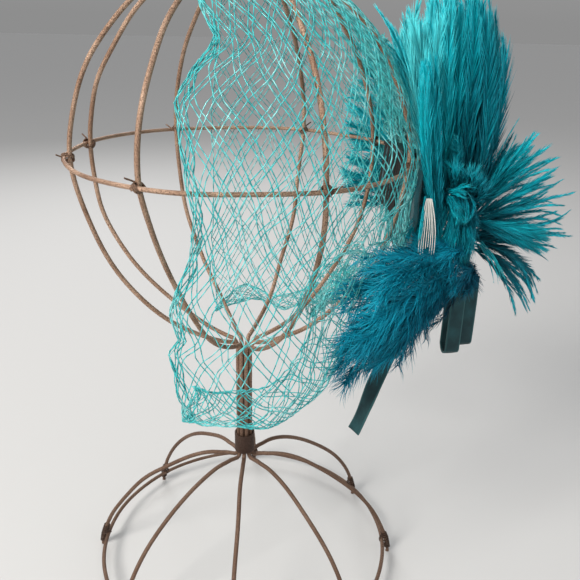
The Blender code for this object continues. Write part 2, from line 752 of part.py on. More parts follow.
def main():
    """Build the stand and the fascinator."""
    clear_scene()
    home = new_collection("fascinator_on_stand")
    cutters = new_collection("cutters")
    frame = bpy.data.objects.new("stand_axis", None)
    home.objects.link(frame)
    build_stand(home, frame)
    build_plate(home, frame)
    build_comb(home, frame, cutters)
    for tuft in TUFTS:
        finish = QUILL_FINISH if tuft is QUILL_BUNCH else FEATHER_FINISH
        build_tuft(tuft, finish, home, frame, cutters)
    build_veil(home, frame)
    build_gathers(home, frame)
    build_ribbons(home, frame)
    bpy.context.view_layer.update()
    centre_on_floor(home, frame)
    for piece in home.objects:
        if piece.type == "MESH":
            piece.data.shade_smooth()
            piece.data.set_sharp_from_angle(angle=math.radians(50))


main()
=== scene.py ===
"""A feather fascinator with a net veil, on the open wire hat stand that holds it.

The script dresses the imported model. Lengths are in metres. Places are worked out from the stand's
upright axis, with the feathers on its +X side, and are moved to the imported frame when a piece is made.
"""

import logging
import math
from dataclasses import dataclass, fields
from enum import Enum
from typing import Any, Iterable, Sequence

import bmesh
import bpy
import numpy as np
from mathutils import Matrix, Vector


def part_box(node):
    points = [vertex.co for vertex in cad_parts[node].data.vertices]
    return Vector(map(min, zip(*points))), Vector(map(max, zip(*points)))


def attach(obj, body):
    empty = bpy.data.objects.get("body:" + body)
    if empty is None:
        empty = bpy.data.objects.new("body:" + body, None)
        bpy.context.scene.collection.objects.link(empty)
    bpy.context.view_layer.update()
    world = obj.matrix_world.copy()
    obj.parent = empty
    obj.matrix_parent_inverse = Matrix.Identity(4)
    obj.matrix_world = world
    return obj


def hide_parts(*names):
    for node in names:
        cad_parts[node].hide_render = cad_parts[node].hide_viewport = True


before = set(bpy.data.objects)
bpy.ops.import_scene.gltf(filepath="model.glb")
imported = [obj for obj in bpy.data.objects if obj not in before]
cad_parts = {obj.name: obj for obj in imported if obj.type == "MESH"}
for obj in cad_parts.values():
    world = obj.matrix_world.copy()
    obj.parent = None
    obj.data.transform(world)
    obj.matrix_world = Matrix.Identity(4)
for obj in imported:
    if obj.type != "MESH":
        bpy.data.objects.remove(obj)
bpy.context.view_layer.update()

LOG = logging.getLogger("fascinator")
COLLAR_LOW, COLLAR_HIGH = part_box("collar")
AXIS_SHIFT = np.array([(COLLAR_LOW.x + COLLAR_HIGH.x) / 2, 0.0, 0.0])
EQUATOR_Z = 0.2738
RIB_RADIUS = 0.0888
RING_RADIUS = 0.0915
LEAST_CLOTH_WIDTH = 0.01
Colour = Point = tuple[float, float, float]
Pairs = tuple[tuple[float, float], ...]
Socket, Tree, Material, Piece = bpy.types.NodeSocket, bpy.types.NodeTree, bpy.types.Material, bpy.types.Object


def smooth_step(low: float, high: float, value: Any) -> Any:
    """Rise smoothly from 0 at low to 1 at high, for a number or an array."""
    t = np.clip((np.asarray(value, float) - low) / (high - low), 0.0, 1.0)
    return t * t * (3 - 2 * t)


def ripple(places: np.ndarray, wavelength: float, seed: int) -> np.ndarray:
    """Smooth seeded noise made of a few crossed waves.

    Args:
        places: One row per place, in any number of dimensions.
        wavelength: Typical length of a wave.
        seed: Which noise it is.

    Returns:
        One value per place, mostly between -1 and 1.
    """
    rng = np.random.default_rng(seed)
    total = np.zeros(len(places))
    for _ in range(5):
        heading = rng.normal(size=places.shape[1])
        heading /= np.linalg.norm(heading)
        pace = 2 * math.pi / wavelength * rng.uniform(0.7, 1.4)
        total += np.sin(places @ heading * pace + rng.uniform(0, 2 * math.pi))
    return total / 2.4


def shake(points: np.ndarray, wavelength: float, seed: int, amount: Any, places: np.ndarray | None = None) -> None:
    """Move points a little, in place, one axis after the other.

    Args:
        points: The points.
        wavelength: Typical length of a wave.
        seed: Which noise the first axis has.
        amount: How far they move: one number, one for each point, or a row of those for each axis.
        places: Where the noise is read, or the points themselves.
    """
    amounts = np.broadcast_to(amount, (3, len(points)))
    for axis in range(3):
        points[:, axis] += amounts[axis] * ripple(points if places is None else places, wavelength, seed + axis)


def polar(radius: Any, azimuth: Any, z: Any) -> np.ndarray:
    """Places, one a row, at a radius and an azimuth in degrees about the stand's axis."""
    turn = np.radians(azimuth)
    return np.stack(np.broadcast_arrays(radius * np.cos(turn), radius * np.sin(turn), z), axis=-1)


def unit(vectors: np.ndarray) -> np.ndarray:
    """Vectors, one a row, made one long."""
    return vectors / np.maximum(np.linalg.norm(vectors, axis=-1, keepdims=True), 1e-12)


def run_along(points: np.ndarray) -> np.ndarray:
    """How far along their line each of the points is."""
    return np.concatenate([[0], np.cumsum(np.linalg.norm(np.diff(points, axis=0), axis=1))])


class NodeBench:
    """A node tree that is built up one node at a time."""

    def __init__(self, tree: Tree) -> None:
        """Start on a tree."""
        self.tree = tree

    @staticmethod
    def _pick(sockets: Any, key: Any) -> Socket:
        """The socket with that number, or the first one in use that has that name."""
        return sockets[key] if isinstance(key, int) else next(s for s in sockets if s.name == key and s.enabled)

    def feed(self, socket: Socket, value: Any) -> None:
        """Put a value, or what another socket gives, into a socket.

        Args:
            socket: The socket.
            value: A number, a name, a colour or another socket.
        """
        if isinstance(value, Socket):
            self.tree.links.new(value, socket)
        else:
            socket.default_value = value

    def add(self, kind: str, inputs: dict[Any, Any] | None = None, **settings: Any) -> bpy.types.Node:
        """Put in a node.

        Args:
            kind: Blender's name for the node's type.
            inputs: What goes into each input: a socket, or a value.
            settings: The node's own settings.

        Returns:
            The node.
        """
        node = self.tree.nodes.new(kind)
        for name, value in settings.items():
            setattr(node, name, value)
        for key, value in (inputs or {}).items():
            self.feed(self._pick(node.inputs, key), value)
        return node

    def get(self, kind: str, inputs: dict[Any, Any] | None = None, out: Any = 0, **settings: Any) -> Socket:
        """Put in a node and give one of its outputs, by number or name."""
        return self._pick(self.add(kind, inputs, **settings).outputs, out)

    def math(self, operation: str, first: Any, second: Any = 0.0) -> Socket:
        """The result of a sum on two numbers."""
        return self.get("ShaderNodeMath", {0: first, 1: second}, operation=operation)

    def times(self, first: Any, second: Any) -> Socket:
        """Two numbers multiplied."""
        return self.math("MULTIPLY", first, second)

    def plus(self, first: Any, second: Any, share: Any = None) -> Socket:
        """The first number plus the second, or plus a share of it."""
        return self.math("ADD", first, second if share is None else self.times(second, share))

    def vector(self, operation: str, first: Any, second: Any) -> Socket:
        """The result of a sum on two vectors."""
        return self.get("ShaderNodeVectorMath", {0: first, 1: second}, operation=operation)

    def scaled(self, vector: Any, factor: Any) -> Socket:
        """A vector times a number."""
        return self.get("ShaderNodeVectorMath", {"Vector": vector, "Scale": factor}, operation="SCALE")

    def mixed(self, share: Any, first: Any, second: Any) -> Socket:
        """Mix two colours.

        Args:
            share: How much of the second, 0 to 1.
            first: A colour or a socket.
            second: A colour or a socket.

        Returns:
            The mixed colour.
        """
        node = self.add("ShaderNodeMix", data_type="RGBA")
        for key, value in ((0, share), (6, first), (7, second)):
            self.feed(node.inputs[key], (*value, 1.0) if isinstance(value, tuple) else value)
        return node.outputs[2]

    def banded(self, value: Any, low: float, high: float) -> Socket:
        """A value stretched so that low becomes 0 and high becomes 1, and kept between them."""
        return self.get("ShaderNodeMapRange", {"Value": value, "From Min": low, "From Max": high}, clamp=True)

    def joined(self, parts: Iterable[Socket]) -> Socket:
        """Several geometries as one.

        Args:
            parts: The geometries.

        Returns:
            The joined geometry.
        """
        join = self.add("GeometryNodeJoinGeometry")
        for part in parts:
            self.feed(join.inputs[0], part)
        return join.outputs[0]


class GrowthBench(NodeBench):
    """A geometry node tree with its guide geometry coming in and its piece going out."""

    def __init__(self, name: str) -> None:
        """Make the tree.

        Args:
            name: The tree's name.
        """
        super().__init__(bpy.data.node_groups.new(name, "GeometryNodeTree"))
        for way in ("INPUT", "OUTPUT"):
            self.tree.interface.new_socket("Geometry", in_out=way, socket_type="NodeSocketGeometry")
        self.start = self.tree.nodes.new("NodeGroupInput")
        self.guide = self.start.outputs[0]

    def entries(self, kind: str, *names: str) -> list[Socket]:
        """Give the tree named inputs.

        Args:
            kind: What kind of value they take.
            names: Their names.

        Returns:
            Their sockets.
        """
        for name in names:
            self.tree.interface.new_socket(name, in_out="INPUT", socket_type=f"NodeSocket{kind}")
        return [self.start.outputs[name] for name in names]

    def named(self, name: str, kind: str = "FLOAT") -> Socket:
        """The value of a named attribute."""
        return self.get("GeometryNodeInputNamedAttribute", {"Name": name}, "Attribute", data_type=kind)

    def stored(self, geometry: Any, name: str, value: Any, domain: str = "POINT") -> Socket:
        """The geometry with a value kept on it."""
        inputs = {"Geometry": geometry, "Name": name, "Value": value}
        return self.get("GeometryNodeStoreNamedAttribute", inputs, "Geometry", data_type="FLOAT", domain=domain)

    def random(self, low: float, high: float, seed: Any) -> Socket:
        """A random number for each place, between low and high."""
        return self.get("FunctionNodeRandomValue", {"Min": low, "Max": high, "Seed": seed}, "Value", data_type="FLOAT")

    def tube(self, radius: Any, sides: Any, step: Any = None) -> Socket:
        """Sweep a round section along the guide's lines.

        Args:
            radius: The section's radius.
            sides: How many sides it has.
            step: Distance between its points, where they are fewer than the guide's.

        Returns:
            The closed tubes. Each point knows how far along its line it is, as the attribute run.
        """
        line = self.get("GeometryNodeMeshToCurve", {"Mesh": self.guide}, "Curve")
        if step is not None:
            line = self.get("GeometryNodeResampleCurve", {"Curve": line, "Length": step}, mode="LENGTH")
        line = self.stored(line, "run", self.get("GeometryNodeSplineParameter", out="Length"))
        section = {"Resolution": sides, "Radius": radius}
        ring = self.get("GeometryNodeCurvePrimitiveCircle", section, "Curve", mode="RADIUS")
        inputs = {"Curve": line, "Profile Curve": ring, "Scale": self.named("girth"), "Fill Caps": True}
        return self.get("GeometryNodeCurveToMesh", inputs, "Mesh")

    def finish(self, parts: Sequence[Socket], material: Socket) -> Tree:
        """End the tree.

        Args:
            parts: The geometry that makes up the piece.
            material: The material's socket.

        Returns:
            The finished tree.
        """
        real = self.get("GeometryNodeRealizeInstances", {"Geometry": self.joined(reversed(parts))})
        smooth = self.get("GeometryNodeSetShadeSmooth", {"Geometry": real})
        dressed = self.get("GeometryNodeSetMaterial", {"Geometry": smooth, "Material": material})
        self.tree.links.new(dressed, self.tree.nodes.new("NodeGroupOutput").inputs[0])
        return self.tree


def wire_tree() -> Tree:
    """A tree that sweeps round wires along lines, with a small ball at each marked knot.

    Returns:
        The tree.
    """
    bench = GrowthBench("swept_wire")
    radius, knot_radius = bench.entries("Float", "Radius", "Knot Radius")
    (sides,), (material,) = bench.entries("Int", "Sides"), bench.entries("Material", "Material")
    ball = bench.get("GeometryNodeMeshUVSphere", {"Segments": 4, "Rings": 3, "Radius": knot_radius}, "Mesh")
    inputs = {"Points": bench.guide, "Selection": bench.named("knot", "BOOLEAN"), "Instance": ball}
    knots = bench.get("GeometryNodeInstanceOnPoints", inputs)
    return bench.finish([bench.tube(radius, sides), knots], material)


def barb_tree() -> Tree:
    """A tree that grows the two rows of barbs of each feather from points along its shaft.

    Returns:
        The tree.
    """
    bench = GrowthBench("feather_barbs")
    width, flatness, sweep, scatter, lift = bench.entries("Float", "Width", "Flatness", "Sweep", "Scatter", "Lift")
    curl, ruffle, ruffle_scale, shaft_radius = bench.entries("Float", "Curl", "Ruffle", "Ruffle Scale", "Shaft Radius")
    (segments, seed), (material,) = bench.entries("Int", "Segments", "Seed"), bench.entries("Material", "Material")
    cone = {"Vertices": 3, "Side Segments": segments, "Radius Top": 0.0, "Radius Bottom": 1.0, "Depth": 1.0}
    height = bench.get("ShaderNodeSeparateXYZ", {0: bench.get("GeometryNodeInputPosition")}, "Z")
    barb = bench.stored(bench.get("GeometryNodeMeshCone", cone, "Mesh", fill_type="NGON"), "out", height)
    lean = bench.times(bench.math("POWER", bench.named("out"), 2.0), curl)
    bow = bench.get("ShaderNodeCombineXYZ", {"X": lean})
    barb = bench.get("GeometryNodeSetPosition", {"Geometry": barb, "Offset": bow})
    along, face = bench.named("along", "FLOAT_VECTOR"), bench.named("face", "FLOAT_VECTOR")
    side = bench.vector("CROSS_PRODUCT", face, along)
    rows = []
    for sign, shift in ((1.0, 0.0), (-1.0, 11.0)):
        own_seed = bench.plus(seed, shift)
        rise_seed, reach_seed, tint_seed = (bench.plus(own_seed, more) for more in (3.0, 5.0, 7.0))
        angle = bench.plus(sweep, bench.times(bench.random(-1.0, 1.0, own_seed), scatter))
        forward = bench.scaled(along, bench.math("COSINE", angle))
        outward = bench.scaled(side, bench.times(bench.math("SINE", angle), sign))
        upward = bench.scaled(face, bench.times(bench.random(-1.0, 1.0, rise_seed), lift))
        heading = bench.vector("ADD", bench.vector("ADD", forward, outward), upward)
        across = bench.scaled(bench.vector("CROSS_PRODUCT", face, heading), -sign)
        axes = {"Primary Axis": heading, "Secondary Axis": across}
        aim = bench.get("FunctionNodeAxesToRotation", axes, primary_axis="Z", secondary_axis="X")
        reach = bench.times(bench.named("reach"), bench.random(0.78, 1.14, reach_seed))
        size = bench.get("ShaderNodeCombineXYZ", {"X": width, "Y": bench.times(width, flatness), "Z": reach})
        inputs = {"Points": bench.guide, "Instance": barb, "Rotation": aim, "Scale": size}
        row = bench.get("GeometryNodeInstanceOnPoints", inputs)
        rows.append(bench.stored(row, "tint", bench.random(0.0, 1.0, tint_seed), "INSTANCE"))
    vane = bench.get("GeometryNodeRealizeInstances", {"Geometry": bench.joined(rows)})
    noise = bench.get("ShaderNodeTexNoise", {"Scale": ruffle_scale, "Detail": 2.0}, "Color")
    drift = bench.vector("SUBTRACT", noise, (0.5, 0.5, 0.5))
    amount = bench.times(bench.math("POWER", bench.named("out"), 1.5), ruffle)
    vane = bench.get("GeometryNodeSetPosition", {"Geometry": vane, "Offset": bench.scaled(drift, amount)})
    shaft = bench.stored(bench.tube(shaft_radius, 4, 0.004), "shaft", 1.0)
    return bench.finish([vane, shaft], material)


def grain_group() -> Tree:
    """A shader node group that puts out soft patches and fine grain, each from 0 to 1.

    Returns:
        The group.
    """
    tree = bpy.data.node_groups.new("patch_and_grain", "ShaderNodeTree")
    for way, names in (("INPUT", ("Patch Scale", "Grain Scale")), ("OUTPUT", ("Patches", "Grain"))):
        for name in names:
            tree.interface.new_socket(name, in_out=way, socket_type="NodeSocketFloat")
    bench = NodeBench(tree)
    start, end = tree.nodes.new("NodeGroupInput"), tree.nodes.new("NodeGroupOutput")
    place = bench.get("ShaderNodeTexCoord", out="Object")
    for index, (detail, roughness, low, high) in enumerate(((3.0, 0.5, 0.32, 0.68), (6.0, 0.65, 0.3, 0.7))):
        inputs = {"Vector": place, "Scale": start.outputs[index], "Detail": detail, "Roughness": roughness}
        bench.feed(end.inputs[index], bench.banded(bench.get("ShaderNodeTexNoise", inputs), low, high))
    return tree


SHARED: dict[str, Tree] = {}


class FinishBench(NodeBench):
    """A material under construction, with its Principled shader at hand."""

    def __init__(self, name: str, *scales: float) -> None:
        """Make the material.

        Args:
            name: The material's name.
            scales: Of the shared patches and grain, per metre, where the material has them.
        """
        self.material = bpy.data.materials.new(name)
        self.material.use_nodes = True
        super().__init__(self.material.node_tree)
        self.shader = self.tree.nodes["Principled BSDF"]
        if scales:
            group = self.add("ShaderNodeGroup", dict(enumerate(scales)), node_tree=SHARED["grain"])
            self.patches, self.grain = group.outputs[0], group.outputs[1]

    def attribute(self, name: str) -> Socket:
        """A number kept on the piece."""
        return self.get("ShaderNodeAttribute", out="Fac", attribute_name=name)

    def set(self, **values: Any) -> Material:
        """Set the shader's sockets.

        Args:
            values: What goes into each, with underscores for spaces in its name.

        Returns:
            The material.
        """
        for key, value in values.items():
            self.feed(self.shader.inputs[key.replace("_", " ")], (*value, 1.0) if isinstance(value, tuple) else value)
        return self.material

    def bump(self, height: Socket, strength: float, distance: float) -> Socket:
        """A surface raised by a height, of which so much shows, and which is so high in metres."""
        return self.get("ShaderNodeBump", {"Height": height, "Strength": strength, "Distance": distance})


@dataclass(frozen=True)
class RustedWire:
    """Bare wire gone brown, with a worn warm sheen and dark flecks, and painted shade that darkens it from below the
    head down to its foot.
    """

    name: str
    dark: Colour = (0.100, 0.055, 0.036)
    warm: Colour = (0.310, 0.180, 0.115)
    worn: Colour = (0.580, 0.390, 0.275)
    foot_top: float = 0.190
    foot_full: float = 0.110
    foot_share: float = 0.76

    def make(self) -> Material:
        """Build the material.

        Returns:
            The material.
        """
        bench = FinishBench(self.name, 60.0, 1700.0)
        place = bench.get("ShaderNodeTexCoord", out="Object")
        # Painted shade: from below the head down, the wire is darkened towards the dark colour.
        foot = bench.banded(bench.get("ShaderNodeSeparateXYZ", {0: place}, "Z"), self.foot_top, self.foot_full)
        base = bench.mixed(bench.patches, self.warm, self.worn)
        base = bench.mixed(bench.times(foot, self.foot_share), base, self.dark)
        fleck = bench.banded(bench.grain, 0.10, 0.60)
        return bench.set(
            Base_Color=bench.mixed(fleck, self.dark, base),
            Roughness=bench.plus(0.82, fleck, -0.30),
            Metallic=0.55,
            Normal=bench.bump(bench.grain, 0.55, 0.0004),
        )


@dataclass(frozen=True)
class DyedFeather:
    """Dyed feather: barbs darker at the root, paler at their tips, with pale shafts, and each feather's painted light
    and shade.
    """

    name: str
    deep: Colour
    middle: Colour
    bright: Colour
    pale: Colour = (0.14, 0.90, 0.94)
    shaft: Colour = (0.06, 0.42, 0.48)

    def make(self) -> Material:
        """Build the material.

        Returns:
            The material.
        """
        bench = FinishBench(self.name, 120.0, 1500.0)
        tip, out, shade, tint, shaft = map(bench.attribute, ("tip", "out", "shade", "tint", "shaft"))
        # Painted light and shade: each feather's value, with a little tone of its own, lifts it from the deep colour
        # to the bright one.
        rise = bench.plus(bench.times(tip, 0.55), shade, 0.6)
        rise = bench.plus(rise, bench.math("SUBTRACT", tint, 0.5), 0.45)
        base = bench.mixed(bench.banded(rise, 0.0, 0.55), self.deep, self.middle)
        base = bench.mixed(bench.banded(rise, 0.5, 1.20), base, self.bright)
        # Past the bright colour the painted light goes on to the pale one, as a painted highlight.
        base = bench.mixed(bench.banded(rise, 1.15, 2.1), base, self.pale)
        ends = bench.times(bench.banded(out, 0.60, 1.0), bench.banded(tip, 0.62, 1.0))
        base = bench.mixed(bench.times(ends, 0.60), base, self.pale)
        base = bench.mixed(bench.times(bench.patches, 0.22), base, self.deep)
        return bench.set(
            Base_Color=bench.mixed(shaft, base, self.shaft),
            Roughness=bench.plus(0.40, bench.grain, 0.2),
            Specular_IOR_Level=0.22,
        )


@dataclass(frozen=True)
class NetThread:
    """Stiff shiny thread of two twisted strands, with painted highlight and painted shade in turn along the twist, and
    painted glints.
    """

    name: str
    # Painted shade, painted highlight and painted glint of the twisted strands.
    dark: Colour = (0.006, 0.190, 0.205)
    light: Colour = (0.050, 0.545, 0.545)
    glint: Colour = (0.45, 0.88, 0.86)
    twist_length: float = 0.0062

    def make(self) -> Material:
        """Build the material.

        Returns:
            The material.
        """
        bench = FinishBench(self.name, 55.0, 2500.0)
        # Painted highlight and painted shade in turn along the twist, with painted glints in patches on the lit turns.
        turn = bench.times(bench.attribute("run"), 2 * math.pi / self.twist_length)
        twist = bench.banded(bench.math("SINE", turn), -1.6, 0.7)
        shine = bench.times(bench.banded(bench.patches, 0.45, 0.95), twist)
        return bench.set(
            Base_Color=bench.mixed(bench.times(shine, 0.55), bench.mixed(twist, self.dark, self.light), self.glint),
            Roughness=bench.plus(0.28, bench.grain, 0.2),
            Coat_Weight=0.15,
        )


@dataclass(frozen=True)
class Velvet:
    """Velvet ribbon, dark down its middle and lighter along its woven edges."""

    name: str
    pile: Colour = (0.005, 0.028, 0.033)
    lit: Colour = (0.013, 0.072, 0.080)
    edge: Colour = (0.028, 0.115, 0.120)
    ribs_per_metre: float = 9000.0

    def make(self) -> Material:
        """Build the material.

        Returns:
            The material.
        """
        bench = FinishBench(self.name, 90.0, 2600.0)
        border = bench.banded(bench.attribute("across"), 0.80, 0.90)
        wave = bench.math("SINE", bench.times(bench.attribute("run"), self.ribs_per_metre))
        ribs = bench.banded(wave, -1.0, 1.0)
        pile = bench.mixed(bench.patches, self.pile, self.lit)
        weave = bench.mixed(bench.times(ribs, 0.35), self.edge, self.pile)
        height = bench.plus(bench.grain, bench.times(border, ribs), 0.6)
        return bench.set(
            Base_Color=bench.mixed(border, pile, weave),
            Roughness=bench.plus(0.75, bench.grain, 0.2),
            Sheen_Weight=0.08,
            Sheen_Roughness=0.35,
            Normal=bench.bump(height, 0.45, 0.0003),
        )


@dataclass(frozen=True)
class Felt:
    """Matt felt with short fibres."""

    name: str
    base: Colour = (0.012, 0.085, 0.105)
    fibre: Colour = (0.030, 0.150, 0.170)

    def make(self) -> Material:
        """Build the material.

        Returns:
            The material.
        """
        bench = FinishBench(self.name, 60.0, 1400.0)
        base = bench.mixed(bench.times(bench.patches, 0.5), self.base, self.fibre)
        return bench.set(
            Base_Color=bench.mixed(bench.times(bench.grain, 0.5), base, self.fibre),
            Roughness=bench.plus(0.85, bench.grain, 0.12),
            Sheen_Weight=0.2,
            Normal=bench.bump(bench.grain, 0.6, 0.0004),
        )


@dataclass(frozen=True)
class StrippedQuill:
    """Bare quills, pale with dark stretches."""

    name: str
    pale: Colour = (0.82, 0.82, 0.76)
    dark: Colour = (0.020, 0.022, 0.020)

    def make(self) -> Material:
        """Build the material.

        Returns:
            The material.
        """
        bench = FinishBench(self.name, 300.0, 1800.0)
        stretch = bench.banded(bench.plus(bench.attribute("shade"), bench.grain, 0.3), 0.55, 0.75)
        base = bench.mixed(stretch, self.pale, self.dark)
        return bench.set(
            Base_Color=bench.mixed(bench.times(bench.patches, 0.2), base, self.dark),
            Roughness=bench.plus(0.30, bench.grain, 0.15),
        )


@dataclass(frozen=True)
class DarkSteel:
    """Blackened steel with fine scratches."""

    name: str
    base: Colour = (0.075, 0.070, 0.068)
    dull: Colour = (0.030, 0.028, 0.027)

    def make(self) -> Material:
        """Build the material.

        Returns:
            The material.
        """
        bench = FinishBench(self.name, 120.0, 3000.0)
        return bench.set(
            Base_Color=bench.mixed(bench.times(bench.patches, 0.5), self.base, self.dull),
            Roughness=bench.plus(0.25, bench.grain, 0.2),
            Metallic=1.0,
            Normal=bench.bump(bench.grain, 0.1, 0.0002),
        )


class Guide:
    """Lines of points, with what each point knows, from which a node tree grows a piece."""

    def __init__(self, lines: Iterable[np.ndarray] = (), closed: bool = False) -> None:
        """Start with some lines, or with none.

        Args:
            lines: The lines, if there are any yet.
            closed: Whether their ends join their starts.
        """
        self.lines: list[np.ndarray] = []
        self.edges: list[np.ndarray] = []
        self.facts: list[dict[str, np.ndarray]] = []
        self.count = 0
        for line in lines:
            self.add(line, closed)

    def add(self, points: np.ndarray, closed: bool = False, **facts: Any) -> None:
        """Add a line.

        Args:
            points: One row per point, from the stand's axis.
            closed: Whether the line's end joins its start.
            facts: Named values, one for each point or one for all.
        """
        full = {}
        for name, value in {"girth": 1.0, "knot": False, **facts}.items():
            value = np.asarray(value)
            is_vector = value.shape[-1:] == (3,) and value.dtype != bool
            full[name] = np.broadcast_to(value, (len(points), 3) if is_vector else (len(points),))
        order = np.arange(self.count, self.count + len(points))
        ends = np.append(order[1:], order[:1])
        self.edges.append(np.stack([order, ends], axis=1)[: None if closed else -1])
        self.lines.append(np.asarray(points, float))
        self.facts.append(full)
        self.count += len(points)

    def mesh(self, name: str) -> bpy.types.Mesh:
        """The lines as a mesh of edges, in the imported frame.

        Args:
            name: The mesh's name.

        Returns:
            The mesh, with its facts as attributes.
        """
        mesh = bpy.data.meshes.new(name)
        mesh.from_pydata(np.concatenate(self.lines) + AXIS_SHIFT, np.concatenate(self.edges), [])
        for fact in self.facts[0]:
            values = np.concatenate([facts[fact] for facts in self.facts])
            kind, slot = ("FLOAT_VECTOR", "vector") if values.ndim == 2 else ("FLOAT", "value")
            made = mesh.attributes.new(fact, "BOOLEAN" if values.dtype == bool else kind, "POINT")
            made.data.foreach_set(slot, values.ravel())
        return mesh


def linked(name: str, data: Any) -> Piece:
    """Put a mesh, a light or a camera in the scene as an object.

    Args:
        name: The object's name.
        data: What it shows.

    Returns:
        The object.
    """
    thing = bpy.data.objects.new(name, data)
    bpy.context.scene.collection.objects.link(thing)
    return thing


def placed(name: str, nodes: Sequence[str], slot: str, mesh: bpy.types.Mesh) -> Piece:
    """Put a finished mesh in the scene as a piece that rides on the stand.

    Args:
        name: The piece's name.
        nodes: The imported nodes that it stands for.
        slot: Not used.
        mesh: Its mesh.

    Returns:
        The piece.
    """
    piece = linked(name, mesh)
    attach(piece, "root")
    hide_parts(*nodes)
    LOG.info("%s: %d faces", name, len(mesh.polygons))
    return piece


def grown(name: str, nodes: Sequence[str], slot: str, guide: Guide, tree: str, **sizes: Any) -> Piece:
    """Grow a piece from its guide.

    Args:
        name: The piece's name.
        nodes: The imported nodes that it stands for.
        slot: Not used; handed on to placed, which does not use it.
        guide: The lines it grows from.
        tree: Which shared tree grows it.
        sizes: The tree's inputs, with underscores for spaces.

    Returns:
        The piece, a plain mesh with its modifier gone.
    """
    seedling = linked(f"{name}_guide", guide.mesh(f"{name}_guide"))
    growth = seedling.modifiers.new("growth", "NODES")
    growth.node_group = SHARED[tree]
    wanted = {key.replace("_", " "): value for key, value in sizes.items()}
    for item in SHARED[tree].interface.items_tree:
        if item.item_type == "SOCKET" and item.in_out == "INPUT" and item.name in wanted:
            growth[item.identifier] = wanted[item.name]
    graph = bpy.context.evaluated_depsgraph_get()
    made = seedling.evaluated_get(graph)
    mesh = bpy.data.meshes.new_from_object(made, preserve_all_data_layers=True, depsgraph=graph)
    bpy.data.objects.remove(seedling, do_unlink=True)
    mesh.name = name
    return placed(name, nodes, slot, mesh)


def sheet_mesh(name: str, grid: np.ndarray, **facts: np.ndarray) -> bpy.types.Mesh:
    """A mesh from rows of points.

    Args:
        name: The mesh's name.
        grid: Rows by columns of points, from the stand's axis.
        facts: Named values, for each row, each column or each point.

    Returns:
        The mesh of quads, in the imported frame.
    """
    order = np.arange(grid.shape[0] * grid.shape[1]).reshape(grid.shape[:2])
    faces = np.stack([order[:-1, :-1], order[:-1, 1:], order[1:, 1:], order[1:, :-1]], axis=-1).reshape(-1, 4)
    mesh = bpy.data.meshes.new(name)
    mesh.from_pydata(grid.reshape(-1, 3) + AXIS_SHIFT, [], faces)
    for fact, values in facts.items():
        made = mesh.attributes.new(fact, "FLOAT", "POINT")
        made.data.foreach_set("value", np.broadcast_to(values, grid.shape[:2]).ravel())
    mesh.shade_smooth()
    return mesh


def walled(piece: Piece, material: Material, thickness: float, offset: float = 0.0) -> None:
    """Give a sheet its material and its wall.

    Args:
        piece: The sheet.
        material: What it is made of.
        thickness: The wall's thickness.
        offset: 0 to grow to both sides, 1 to grow to one.
    """
    piece.data.materials.append(material)
    wall = piece.modifiers.new("wall", "SOLIDIFY")
    wall.thickness, wall.offset = thickness, offset


def declare_net(piece: Piece, flat: tuple[float, float]) -> None:
    """Log a piece of net's flat size and the area that its threads cover. Declare a piece of net as
    cloth, with the area of its threads or the least that a sheet may have.

    Args:
        piece: The net.
        flat: Its width and length when flat.
    """
    wide, long = (round(side, 3) for side in flat)
    surface = sum(face.area for face in piece.data.polygons) / 2
    LOG.info("%s: flat %.3f by %.3f m, threads cover %.4f square metres", piece.name, wide, long, surface)


def repaint(nodes: Sequence[str], material: Material) -> None:
    """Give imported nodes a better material.

    Args:
        nodes: The nodes' names.
        material: What they are made of.
    """
    for name in nodes:
        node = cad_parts[name]
        node.data.materials.clear()
        node.data.materials.append(material)
        LOG.info("%s: repainted", name)


def numbered(stem: str) -> list[str]:
    """The names of eight nodes that are numbered from 1."""
    return [f"{stem}_{number}" for number in range(1, 9)]


@dataclass(frozen=True)
class Rib:
    """A head rib: where it crosses the equator, in degrees, and how far it was bent from the true arc."""

    azimuth: float = 0.0
    upper_bulge: float = 0.0
    lower_bulge: float = 0.0


